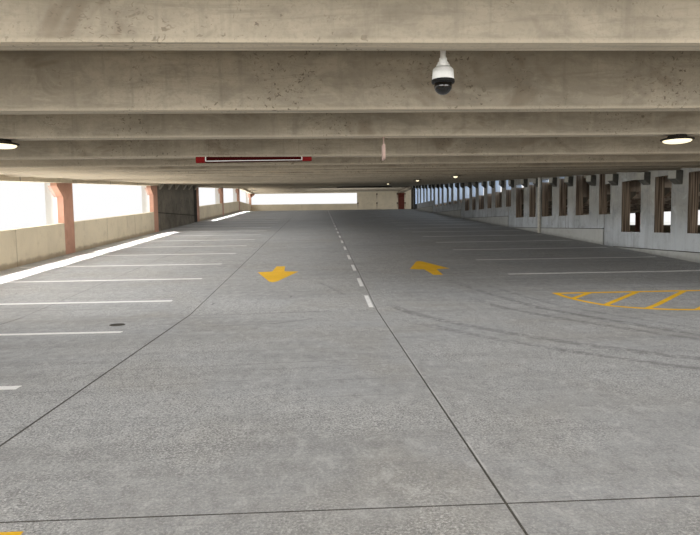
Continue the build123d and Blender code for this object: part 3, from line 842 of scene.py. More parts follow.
def cut_at(piece, y):
    """Adds an edge loop across a piece where the deck's slope changes."""
    ys = [vertex.co.y for vertex in piece.data.vertices]
    if min(ys) < y < max(ys):
        edited(piece, lambda: bpy.ops.mesh.bisect(plane_co=(0, y, 0), plane_no=(0, 1, 0)))


def unrolled(y):
    """A place along the deck as it is before the deck is folded up to its slope."""
    run = min(max(y - RAMP_START, 0.0), RUN)
    return y + run / math.cos(SLOPE) - run


def fold_up(piece, slope, hinge_height):
    """Folds a flat marking up at the ramp's foot and back level at its head."""
    head = unrolled(RAMP_END)
    cut_at(piece, RAMP_START)
    cut_at(piece, head)
    small = 1e-5
    ys = [vertex.co.y for vertex in piece.data.vertices]
    if max(ys) <= RAMP_START + small:
        return
    turn_part(piece, lambda v: v.co.y > RAMP_START + small, slope, (0, RAMP_START, hinge_height))
    if max(ys) > head + small:
        crease = RAMP_START + (head - RAMP_START) * math.cos(slope)
        lift = hinge_height + (head - RAMP_START) * math.sin(slope)
        turn_part(piece, lambda v: v.co.y > crease + 0.01, -slope, (0, crease, lift))


def joined(pieces, name=None):
    """Joins the pieces into the first one."""
    only(*pieces)
    if pieces[1:]:
        bpy.ops.object.join()
    if name:
        pieces[0].name = name
    return pieces[0]


def copies(piece, offsets):
    """Copies a finished piece to each offset, each with its own mesh, and joins them."""
    made = []
    for offset in offsets:
        twin = piece.copy()
        twin.data = piece.data.copy()
        move(twin, offset)
        bpy.context.collection.objects.link(twin)
        made.append(twin)
    return joined([piece] + made)


def soften(piece, width, segments=2, angle=30):
    """A bevel modifier, applied, and smooth shading by angle."""
    only(piece)
    bevel = piece.modifiers.new("edges", "BEVEL")
    bevel.width = width
    bevel.segments = segments
    bevel.limit_method = "ANGLE"
    bevel.angle_limit = math.radians(angle)
    bpy.ops.object.modifier_apply(modifier=bevel.name)
    bpy.ops.object.shade_smooth_by_angle(angle=math.radians(angle))


def finish_piece(piece, material):
    """Gives a piece its material and body."""
    piece.data.materials.clear()
    piece.data.materials.append(MATERIALS[material])
    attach(piece, ROOT)
    return piece


def spun(name, profile, centre, steps):
    """A round piece turned from a profile of (radius, height) points."""
    bpy.ops.object.select_all(action="DESELECT")
    bpy.ops.mesh.primitive_plane_add(size=0.001, location=(0, 0, 0))
    piece = named(name)
    mesh = bmesh.new()
    rail = [mesh.verts.new((radius, 0, height)) for radius, height in profile]
    for pair in zip(rail, rail[1:]):
        mesh.edges.new(pair)
    mesh.to_mesh(piece.data)
    mesh.free()
    edited(
        piece,
        lambda: bpy.ops.mesh.spin(
            steps=steps, angle=math.tau, center=(0, 0, 0), axis=(0, 0, 1)),
        merge_close, face_outwards)
    move(piece, centre)
    only(piece)
    bpy.ops.object.shade_smooth_by_angle(angle=math.radians(35))
    return piece


def flat_outline(name, points, thickness):
    """A thin slab of paint with a given outline, extruded up from a filled face."""
    bpy.ops.object.select_all(action="DESELECT")
    bpy.ops.mesh.primitive_circle_add(
        vertices=len(points), radius=1, fill_type="NGON", location=(0, 0, 0))
    piece = named(name)
    for vertex, (x, y) in zip(piece.data.vertices, points):
        vertex.co = (x, y, GROUND - SINK)
    edited(
        piece,
        lambda: bpy.ops.mesh.extrude_region_move(
            TRANSFORM_OT_translate={"value": (0, 0, thickness)}),
        face_outwards)
    return piece


def painted_line(name, x0, x1, y0, y1, thickness):
    return block(name, (x0, y0, GROUND - SINK), (x1, y1, GROUND + thickness))


def stem_y(number):
    """A stem's place along the building, counted from the south."""
    return SOUTH + TEE * (number // 2) + STEM_PLACES[number % 2]


class CARPARK_OT_finishes(bpy.types.Operator):
    """Gives every node of the frame its material"""
    bl_idname = "car_park.finishes"
    bl_label = "Finish the frame"

    def execute(self, context):
        MATERIALS.update(main_materials())
        bare = set(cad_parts)
        for finish, names in NODE_FINISHES.items():
            for name in names:
                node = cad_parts.get(name)
                if node is None:
                    raise RuntimeError("the frame has no node " + name)
                node.data.materials.clear()
                node.data.materials.append(MATERIALS[finish])
                bare.discard(name)
        if bare:
            raise RuntimeError("nodes without a finish: " + ", ".join(sorted(bare)))
        return {"FINISHED"}


# Markings

LEFT_STALLS = (-9.50, -6.661)
RIGHT_STALLS = (-2.956, -0.24)
EAST_STALLS = ((0.24, 2.956), (6.661, 9.50))
FIRST_LEFT_STALL = -15.950
FIRST_RIGHT_STALL = -11.690
LAST_STALL = 12.9


class CARPARK_OT_stall_lines(bpy.types.Operator):
    """Lays the white stall lines on the ramp and on the two open decks"""
    bl_idname = "car_park.stall_lines"
    bl_label = "Stall lines"

    def execute(self, context):
        marks = context.scene.car_park_markings
        pitch = marks.stall_width
        roof = FIRST_LEFT_STALL + pitch
        for name, ends, first, level, slope, width in (
                ("stall_lines_left", LEFT_STALLS, FIRST_LEFT_STALL, west_floor, SLOPE, pitch),
                ("stall_lines_right", RIGHT_STALLS, FIRST_RIGHT_STALL, west_floor, SLOPE,
                 marks.right_stall_width),
                ("roof_stall_lines_left", LEFT_STALLS, roof, west_roof, SLOPE, pitch),
                ("roof_stall_lines_right", RIGHT_STALLS, roof, west_roof, SLOPE, pitch),
                ("east_stall_lines_left", EAST_STALLS[0], roof, east_deck, -EAST_SLOPE, pitch),
                ("east_stall_lines_right", EAST_STALLS[1], roof, east_deck, -EAST_SLOPE, pitch)):
            count = int((LAST_STALL - first) / width) + 1
            places = [first + number * width for number in range(count)]
            flat = [y for y in places if y < RAMP_START]
            tilted = [y for y in places if y >= RAMP_START]
            rows = [self.row(name, ends, part, marks, level, angle)
                    for part, angle in ((flat, 0.0), (tilted, slope)) if part]
            finish_piece(joined(rows, name), "white_line")
        return {"FINISHED"}

    def row(self, name, ends, places, marks, level, slope):
        """One line at each place, all at the same slope."""
        first, half = places[0], marks.line_width / 2
        line = painted_line(name, *ends, first - half, first + half, marks.paint_height)
        turn_part(line, everything, slope, (0, first, GROUND))
        move(line, (0, 0, level(first) - GROUND))
        return copies(line, [(0, y - first, level(y) - level(first)) for y in places[1:]])


DASH_X = (-4.812, -4.772)
NEAR_DASHES = (-13.568, -12.406, -11.123, -9.852, -8.380)
LAST_DASH = 12.6


class CARPARK_OT_lane_dashes(bpy.types.Operator):
    """Lays the short white dashes beside the middle joint"""
    bl_idname = "car_park.lane_dashes"
    bl_label = "Lane dashes"

    def execute(self, context):
        marks = context.scene.car_park_markings
        first = NEAR_DASHES[0]
        dash = painted_line(
            "lane_dashes", *DASH_X, first, first + marks.dash_length, marks.paint_height)
        turn_part(dash, everything, SLOPE, (0, first, GROUND))
        move(dash, (0, 0, west_floor(first) - GROUND))
        starts = list(NEAR_DASHES)
        while starts[-1] + marks.dash_pitch < LAST_DASH:
            starts.append(starts[-1] + marks.dash_pitch)
        copies(dash, [(0, y - first, west_floor(y) - west_floor(first)) for y in starts[1:]])
        finish_piece(dash, "white_line")
        return {"FINISHED"}


# Half of an arrow's outline: (distance from its axis, distance from its tip)
ARROW_HALF = ((0.0, 0.0), (0.045, 0.06), (0.262, 0.88), (0.080, 0.93), (0.058, 1.45))
ARROWS = (("arrow_down_ramp", -5.785, -12.00, 1), ("arrow_up_ramp", -3.805, -10.20, -1))


class CARPARK_OT_arrows(bpy.types.Operator):
    """Paints the yellow arrows, one each way"""
    bl_idname = "car_park.arrows"
    bl_label = "Arrows"

    def execute(self, context):
        marks = context.scene.car_park_markings
        for name, x, tip, way in ARROWS:
            right = [(x + across, tip + way * along) for across, along in ARROW_HALF]
            left = [(x - across, tip + way * along) for across, along in ARROW_HALF[:0:-1]]
            piece = flat_outline(name, right + left, marks.paint_height + SINK)
            turn_part(piece, everything, SLOPE, (0, tip, GROUND))
            move(piece, (0, 0, west_floor(tip) - GROUND))
            finish_piece(piece, "yellow_line")
        return {"FINISHED"}


# The hatched island: its wall end, its round end, its far and near sides, its bars
ISLAND_WALL_END = -0.24
ISLAND_TIP = -2.95
ISLAND_FAR = -13.03
ISLAND_NEAR = -14.08
ISLAND_ROUND = 0.84
ISLAND_STEPS = 14
BAR_COUNT = 6
FIRST_BAR = -2.554
BAR_PITCH = 0.483
BAR_ACROSS = 0.074


class CARPARK_OT_hatched_island(bpy.types.Operator):
    """Paints the yellow half oval with its slanting bars"""
    bl_idname = "car_park.hatched_island"
    bl_label = "Hatched island"

    def execute(self, context):
        marks = context.scene.car_park_markings
        band = self.outline(0.0) + self.outline(marks.line_width)[::-1]
        pieces = [flat_outline("hatched_island", band, marks.paint_height + SINK)]
        for number in range(BAR_COUNT):
            left = FIRST_BAR + BAR_PITCH * number - BAR_ACROSS / 2
            right = left + BAR_ACROSS
            points = [(left, ISLAND_FAR - 0.01), self.meet(left), self.meet(right),
                      (right, ISLAND_FAR - 0.01)]
            pieces.append(flat_outline("bar", points, marks.paint_height * 0.98))
        piece = joined(pieces)
        fold_up(piece, SLOPE, GROUND)
        finish_piece(piece, "yellow_line")
        return {"FINISHED"}

    def outline(self, inset):
        """Points from the wall along the near side, round the end and back."""
        points = [(ISLAND_WALL_END, ISLAND_NEAR + inset)]
        depth = ISLAND_FAR - ISLAND_NEAR - 2 * inset
        for number in range(ISLAND_STEPS + 1):
            turn = math.pi / 2 * number / ISLAND_STEPS
            points.append((ISLAND_TIP + inset + ISLAND_ROUND * (1 - math.sin(turn)),
                           ISLAND_FAR - inset - depth * math.cos(turn)))
        return points + [(ISLAND_WALL_END, ISLAND_FAR - inset)]

    def near_edge(self, x):
        """The near side's y at a given x."""
        if x >= ISLAND_TIP + ISLAND_ROUND:
            return ISLAND_NEAR
        share = 1 - (x - ISLAND_TIP) / ISLAND_ROUND
        return ISLAND_FAR - (ISLAND_FAR - ISLAND_NEAR) * math.sqrt(max(1 - share * share, 0.0))

    def meet(self, x):
        """Where a 45 degree line from the far side meets the near side."""
        y = ISLAND_FAR
        while y > self.near_edge(x) + 0.02 and x > ISLAND_TIP:
            x -= 0.004
            y -= 0.004
        return (x, y)


YELLOW_BAR = ((-7.30, -17.47), (-5.975, -17.47), (-5.975, -17.313), (-7.30, -17.313))


class CARPARK_OT_corner_bar(bpy.types.Operator):
    """Paints the yellow bar on the level aisle before the ramp"""
    bl_idname = "car_park.corner_bar"
    bl_label = "Yellow bar"

    def execute(self, context):
        marks = context.scene.car_park_markings
        piece = flat_outline("yellow_bar", YELLOW_BAR, marks.paint_height)
        finish_piece(piece, "yellow_line")
        return {"FINISHED"}


# Floor joints: the long ones' places and shares of the full width, and the cross joint
LONG_JOINTS = ((MIDDLE_JOINT, 0.8), (-6.345, 1.0), (-7.75, 0.5))
LONG_JOINT_HEIGHT = 0.0010
CROSS_JOINT = -17.262
CROSS_JOINT_ENDS = (-9.57, -0.2)


class CARPARK_OT_floor_joints(bpy.types.Operator):
    """Fills the floor's joints with dark sealant"""
    bl_idname = "car_park.floor_joints"
    bl_label = "Floor joints"

    def execute(self, context):
        half = context.scene.car_park_markings.joint_width / 2
        first, last = SOUTH + 0.02, unrolled(LINES[7] - 0.35)
        strips = []
        for x, width in LONG_JOINTS:
            strip = painted_line(
                "long_joint", x - half * width, x + half * width, first, last,
                LONG_JOINT_HEIGHT)
            fold_up(strip, SLOPE, GROUND)
            strips.append(strip)
        finish_piece(joined(strips, "long_floor_joints"), "sealant")
        cross = painted_line(
            "cross_floor_joint", *CROSS_JOINT_ENDS, CROSS_JOINT - half * 0.6,
            CROSS_JOINT + half * 0.6, 0.0006)
        finish_piece(cross, "sealant")
        return {"FINISHED"}


# The round drain in the level aisle
DRAIN_PLACE = (-6.80, -14.18)
DRAIN_RADIUS = 0.058
DRAIN_INSIDE = DRAIN_RADIUS * 0.86
DRAIN_SLOTS = 5


class CARPARK_OT_floor_drain(bpy.types.Operator):
    """Sets the round cast iron drain into the level aisle"""
    bl_idname = "car_park.floor_drain"
    bl_label = "Floor drain"

    def execute(self, context):
        x, y = DRAIN_PLACE
        pieces = [spun("floor_drain", (
            (0.0, GAP), (DRAIN_INSIDE, GAP), (DRAIN_RADIUS * 0.88, 0.003),
            (DRAIN_RADIUS * 0.97, 0.003), (DRAIN_RADIUS, 0.0)), (x, y, GROUND), 32)]
        for number in range(DRAIN_SLOTS):
            across = DRAIN_INSIDE * (2 * (number + 0.5) / DRAIN_SLOTS - 1)
            half = math.sqrt(DRAIN_INSIDE ** 2 - across * across)
            pieces.append(block(
                "bar", (x + across - 0.004, y - half, GROUND + GAP),
                (x + across + 0.004, y + half, GROUND + 0.0028)))
        finish_piece(joined(pieces), "iron")
        return {"FINISHED"}


# The strip at the foot of the middle wall
STRIP_PROUD = 0.020
STRIP_GAP = 0.004
STRIP_DROP = 0.018
STRIP_FIRST_JOINT = 0.96
STRIP_PITCH = 1.06


class CARPARK_OT_foot_strip(bpy.types.Operator):
    """Sets the level topped strip between the sloping deck and the middle wall's panels"""
    bl_idname = "car_park.foot_strip"
    bl_label = "Foot strip"

    def execute(self, context):
        pieces, beads = [], []
        for bay in range(2, 7):
            top = west_floor(LINES[bay]) - STRIP_DROP
            south = LINES[bay - 1] + STRIP_GAP
            joints = [LINES[bay] - (STRIP_DROP / math.tan(SLOPE)) - 0.06]
            y = LINES[bay] - STRIP_FIRST_JOINT
            while y > south + 0.1:
                joints.append(y)
                y -= STRIP_PITCH
            joints.append(south)
            for far, near in zip(joints, joints[1:]):
                pieces.append(self.segment(near + STRIP_GAP / 2, far - STRIP_GAP / 2, top))
            beads.append(((-WALL - STRIP_PROUD - 0.002, south, top - 0.003),
                          (-WALL - GAP, LINES[bay] - 0.38, top + 0.008)))
        piece = joined(pieces, "foot_strip")
        soften(piece, 0.003, 1)
        finish_piece(piece, "strip")
        bead = joined([block("bead", *corners) for corners in beads], "foot_strip_bead")
        soften(bead, 0.002, 1)
        finish_piece(bead, "bead")
        return {"FINISHED"}

    def segment(self, near, far, top):
        """A block whose underside is cut to the deck's slope."""
        piece = block("strip", (-WALL - STRIP_PROUD, near, top - 0.5), (-WALL - GAP, far, top))
        edited(
            piece,
            lambda: bpy.ops.mesh.bisect(
                plane_co=(0, RAMP_START, GROUND + GAP),
                plane_no=(0, -math.sin(SLOPE), math.cos(SLOPE)),
                use_fill=True, clear_inner=True),
            face_outwards)
        return piece


# Narrow openings at the middle wall's panel joints
NARROW_OPENING = 0.429
PANEL_JOINT = 0.010
SILL = 0.555
SILL_GAP = 0.0003


class CARPARK_OT_sill_blocks(bpy.types.Operator):
    """Levels up the sill of each narrow opening that two panels share"""
    bl_idname = "car_park.sill_blocks"
    bl_label = "Sill blocks"

    def execute(self, context):
        lift = west_floor(LINES[2]) - west_floor(LINES[1])
        south = LINES[2] - NARROW_OPENING / 2 + SILL_GAP
        low = west_floor(LINES[1]) + SILL + SILL_GAP
        piece = block(
            "sill_blocks", (-WALL, south, low), (WALL, LINES[2] - PANEL_JOINT / 2, low + lift))
        soften(piece, 0.004)
        copies(piece, [(0, BAY * number, lift * number) for number in range(1, 4)])
        finish_piece(piece, "wall")
        return {"FINISHED"}


# Ceiling lights: stem number and row of each, near and far, and their turned profiles
NEAR_LIGHTS = ((0, -3.00), (4, -3.00), (0, -7.10), (4, -7.10))
FAR_LIGHTS = ((11, -2.90), (15, -2.95), (22, -2.91))
DROPPED_CASE = ((0.0, 0.0), (0.052, 0.0), (0.056, -0.014), (0.082, -0.020), (0.095, -0.024),
                (0.096, -0.030), (0.088, -0.033), (0.0, -0.033))
DROPPED_LENS = ((0.0, -0.0328), (0.081, -0.0328), (0.082, -0.037), (0.074, -0.044),
                (0.055, -0.049), (0.030, -0.052), (0.0, -0.053))
FLAT_CASE = ((0.0, 0.0), (0.086, 0.0), (0.094, -0.004), (0.096, -0.008), (0.096, -0.013),
             (0.090, -0.016), (0.0, -0.016))
SMALL_LENS = ((0.0, -0.0158), (0.034, -0.0158), (0.035, -0.024), (0.030, -0.034),
              (0.018, -0.041), (0.0, -0.0435))


class CARPARK_OT_ceiling_lights(bpy.types.Operator):
    """Hangs the round lights under the stems"""
    bl_idname = "car_park.ceiling_lights"
    bl_label = "Ceiling lights"

    def execute(self, context):
        self.row("light_cases", DROPPED_CASE, NEAR_LIGHTS, "lamp_case")
        lenses = self.row("light_lenses", DROPPED_LENS, NEAR_LIGHTS, "lens")
        self.row("far_light_cases", FLAT_CASE, FAR_LIGHTS, "pale_case")
        self.row("far_light_lenses", SMALL_LENS, FAR_LIGHTS, "lens")
        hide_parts("ceiling_lights")
        return {"FINISHED"}

    def row(self, name, profile, lights, material):
        """One turned part under each of the given stems."""
        places = []
        for number, x in lights:
            y = stem_y(number)
            places.append(Vector((x, y, west_floor(y) + SOFFIT + 0.001)))
        piece = spun(name, profile, places[0], 28)
        copies(piece, [place - places[0] for place in places[1:]])
        return finish_piece(piece, material)


# Corbels of the middle wall: stems they carry, and their sizes
CORBEL_STEMS = range(6, 36)
LOW_CORBEL_STEMS = range(18, 36)
CORBEL_REACH = 0.105
CORBEL_NOSE = 0.115
CORBEL_HEIGHT = 0.20
CORBEL_WIDTH = 0.20


class CARPARK_OT_wall_corbels(bpy.types.Operator):
    """Shapes the corbels that carry the stems on the middle wall's west face"""
    bl_idname = "car_park.wall_corbels"
    bl_label = "Wall corbels"

    def execute(self, context):
        first = stem_y(CORBEL_STEMS[0])
        piece = block(
            "west_wall_corbels", (-WALL - CORBEL_REACH, first - CORBEL_WIDTH / 2, -CORBEL_HEIGHT),
            (-WALL - GAP, first + CORBEL_WIDTH / 2, 0.0))
        edit_part(
            piece, lambda v: v.co.x < -WALL - CORBEL_REACH / 2 and v.co.z < -CORBEL_HEIGHT / 2,
            lambda: bpy.ops.transform.translate(value=(0, 0, CORBEL_HEIGHT - CORBEL_NOSE)))
        soften(piece, 0.004)
        turn_part(piece, everything, SLOPE, (0, first, 0))
        top = west_roof(first)
        move(piece, (0, STEM_DEPTH * math.sin(SLOPE),
                     top - STEM_DEPTH / math.cos(SLOPE) - 0.0005))
        copies(piece, [
            (0, stem_y(number) - first, level(stem_y(number)) - top)
            for level, stems in ((west_roof, CORBEL_STEMS[1:]), (west_floor, LOW_CORBEL_STEMS))
            for number in stems])
        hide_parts("middle_wall_corbels_west")
        finish_piece(piece, "corbels")
        return {"FINISHED"}


# The hanging sign: its west and east faces, ends, foot and head
SIGN_X = (-4.8465, -4.8310)
SIGN_Y = (-15.172, -15.092)
SIGN_Z = (1.2070, 1.2990)


class CARPARK_OT_hanging_sign(bpy.types.Operator):
    """Hangs the small sign on its rod"""
    bl_idname = "car_park.hanging_sign"
    bl_label = "Hanging sign"

    def execute(self, context):
        plate = block("sign_plate", *zip(SIGN_X, SIGN_Y, SIGN_Z))
        soften(plate, 0.005, 3)
        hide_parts("hanging_sign")
        finish_piece(plate, "sign")
        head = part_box("hanging_sign")[1].z - SIGN_Z[1]
        centre = (sum(SIGN_X) / 2, sum(SIGN_Y) / 2, SIGN_Z[1])
        rod = spun("sign_rod", (
            (0.0, head), (0.011, head), (0.011, head - 0.004), (0.0035, head - 0.006),
            (0.0035, 0.004), (0.007, 0.003), (0.007, -0.001), (0.0, -0.001)), centre, 16)
        finish_piece(rod, "sign")
        return {"FINISHED"}


# The dome camera's place and its turned profiles, heights from the bubble's foot
CAMERA_PLACE = (-4.820, -16.790, 1.240)
CAMERA_PIPE = 0.009
CAMERA_BELL = (
    (0.0, 0.118), (0.0125, 0.118), (0.0125, 0.1055), (0.0175, 0.1045), (0.0175, 0.0995),
    (0.0145, 0.0985), (0.0145, 0.0978), (0.0215, 0.0968), (0.0215, 0.0922), (0.0185, 0.0912),
    (0.0185, 0.0905), (0.0255, 0.0892), (0.0285, 0.0862), (0.0325, 0.083),
    (0.0338, 0.080), (0.0352, 0.060), (0.0364, 0.0485), (0.0, 0.0485))
CAMERA_RING = ((0.0, 0.0483), (0.0375, 0.0483), (0.0382, 0.046), (0.0378, 0.0405),
               (0.0350, 0.0372), (0.0305, 0.0368), (0.0, 0.0368))
BUBBLE = 0.0302
BUBBLE_STEPS = 9


class CARPARK_OT_dome_camera(bpy.types.Operator):
    """Hangs the dome camera on its pipe"""
    bl_idname = "car_park.dome_camera"
    bl_label = "Dome camera"

    def execute(self, context):
        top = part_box("camera_pendant")[1].z - CAMERA_PLACE[2]
        pipe = spun("camera_pipe", (
            (0.0, top), (0.024, top), (0.024, top - 0.006), (CAMERA_PIPE + 0.002, top - 0.009),
            (CAMERA_PIPE, top - 0.014), (CAMERA_PIPE, 0.117), (0.0, 0.117)), CAMERA_PLACE, 20)
        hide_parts("camera_pendant")
        finish_piece(pipe, "white_paint")
        bell = spun("camera_bell", CAMERA_BELL, CAMERA_PLACE, 32)
        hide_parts("camera_housing")
        finish_piece(bell, "white_paint")
        ring = spun("camera_ring", CAMERA_RING, CAMERA_PLACE, 32)
        finish_piece(ring, "black_ring")
        turns = [math.pi / 2 * number / BUBBLE_STEPS for number in range(BUBBLE_STEPS)]
        ball = [(BUBBLE * math.cos(turn), BUBBLE - BUBBLE * math.sin(turn)) for turn in turns]
        bubble = spun(
            "camera_bubble", [(0.0, 0.0366), (BUBBLE, 0.0366)] + ball + [(0.0, 0.0)],
            CAMERA_PLACE, 32)
        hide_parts("camera_dome")
        finish_piece(bubble, "dome")
        return {"FINISHED"}


# The headroom bar: ends, place, and its lower and upper edges at the west and east end
BAR_ENDS = (-6.100, -5.284)
BAR_Y = (-14.4995, -14.4795)
BAR_WEST = (1.266, 1.309)
BAR_EAST = (1.274, 1.3035)
BAR_BLOCK = 0.068
BAR_EDGE = 0.0055
BAR_LAP = 0.002
HANGER_RADIUS = 0.005


class CARPARK_OT_height_bar(bpy.types.Operator):
    """Makes the red headroom bar with its end blocks and white edging"""
    bl_idname = "car_park.height_bar"
    bl_label = "Headroom bar"

    def execute(self, context):
        west, east = BAR_ENDS
        left, right = west + BAR_BLOCK, east - BAR_BLOCK
        board = self.board("height_bar_board", left - BAR_LAP, right + BAR_LAP, 0.0, 1.0)
        soften(board, 0.0015)
        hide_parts("height_bar")
        finish_piece(board, "dark_red")
        blocks = joined([self.board("end", west, left, 0.0, 1.0, 0.0015),
                         self.board("end", right, east, 0.0, 1.0, 0.0015)], "height_bar_ends")
        soften(blocks, 0.0025)
        finish_piece(blocks, "red")
        white = joined([
            self.board("edge", left, right, 0.20, 0.34, 0.003),
            self.board("edge", left - BAR_LAP, left + BAR_EDGE, 0.2, 1.02, 0.003),
            self.board("edge", right - BAR_EDGE, right + BAR_LAP, 0.2, 1.02, 0.003)],
            "height_bar_edging")
        soften(white, 0.0008, 1)
        finish_piece(white, "white_paint")
        self.wires()
        return {"FINISHED"}

    def wires(self):
        """The two thin wires that hold the bar, each with an eye at its ends."""
        low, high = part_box("height_bar_hangers")
        length = high.z - low.z
        first = (low.x + HANGER_RADIUS, (low.y + high.y) / 2, low.z)
        wire = spun("height_bar_wires", (
            (0.0, length), (0.006, length), (0.006, length - 0.003), (0.0008, length - 0.005),
            (0.0008, 0.005), (0.003, 0.004), (0.003, 0.0003), (0.0, 0.0003)), first, 10)
        copies(wire, [(high.x - low.x - 2 * HANGER_RADIUS, 0, 0)])
        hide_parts("height_bar_hangers")
        finish_piece(wire, "bar_rods")

    def board(self, name, west, east, low, high, proud=0.0):
        """A stretch of the bar between two shares of its height, narrower to the east."""
        piece = block(name, (west, BAR_Y[0] - proud, 0.0), (east, BAR_Y[1] + proud, 1.0))
        for vertex in piece.data.vertices:
            along = (vertex.co.x - BAR_ENDS[0]) / (BAR_ENDS[1] - BAR_ENDS[0])
            foot, head = (a + (b - a) * along for a, b in zip(BAR_WEST, BAR_EAST))
            vertex.co.z = foot + (head - foot) * (high if vertex.co.z > 0.5 else low)
        return piece


PLATE_THICKNESS = 0.007
BOLT_HEIGHT = 0.009


class CARPARK_OT_connections(bpy.types.Operator):
    """Sets the rusty connection plates on the end wall and its red-brown column"""
    bl_idname = "car_park.connections"
    bl_label = "Connection plates"

    def execute(self, context):
        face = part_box("north_solid_wall")[0].y
        (x, z), half = WALL_PLATES[0], PLATE_SIZE / 2
        piece = block(
            "connection_plates", (x - half, face - PLATE_THICKNESS, z - half),
            (x + half, face - 0.0003, z + half))
        edit_part(piece, lambda f: f.normal.y < -0.9, lambda: self.bolt(half), "FACE")
        soften(piece, 0.0018)
        copies(piece, [(across - x, 0, up - z) for across, up in WALL_PLATES[1:]])
        finish_piece(piece, "rusty")
        return {"FINISHED"}

    def bolt(self, half):
        bpy.ops.mesh.inset(thickness=half * 0.55)
        bpy.ops.mesh.extrude_region_move(
            TRANSFORM_OT_translate={"value": (0, -BOLT_HEIGHT, 0)})


# Strips of light along the foot of the west parapets: near and far end of each
SUN_STRIPS = ((-13.35, -8.35), (-8.10, -2.95), (2.95, 8.10), (8.35, 13.60), (14.0, 18.6))
SUN_STRIP_X = -9.10
SUN_STRIP_WIDTH = 0.30

# How much light each west opening and each stretch of the ramp gets
WEST_SHARES = ((2, 1.2), (3, 0.9), (7, 0.9))
RAMP_WASHES = (
    ("low_ramp_wash_west", 2, 3, -7.1, 1.0), ("low_ramp_wash_east", 2, 3, -2.5, 0.11),
    ("high_ramp_wash_west", 4, 6, -7.1, 1.0), ("high_ramp_wash_east", 4, 6, -2.5, 0.17))

NORTHWARDS, WESTWARDS, DOWN, UPRIGHT = (0, 1, 0), (-1, 0, 0), (0, 0, -1), (0, 0, 1)
UP_RAMP = (0, math.cos(SLOPE), math.sin(SLOPE))
ONTO_RAMP = (0, math.sin(SLOPE), -math.cos(SLOPE))
ONTO_STEM = (0, 0.8, 0.6)
WHITE = (1.0, 1.0, 1.0)


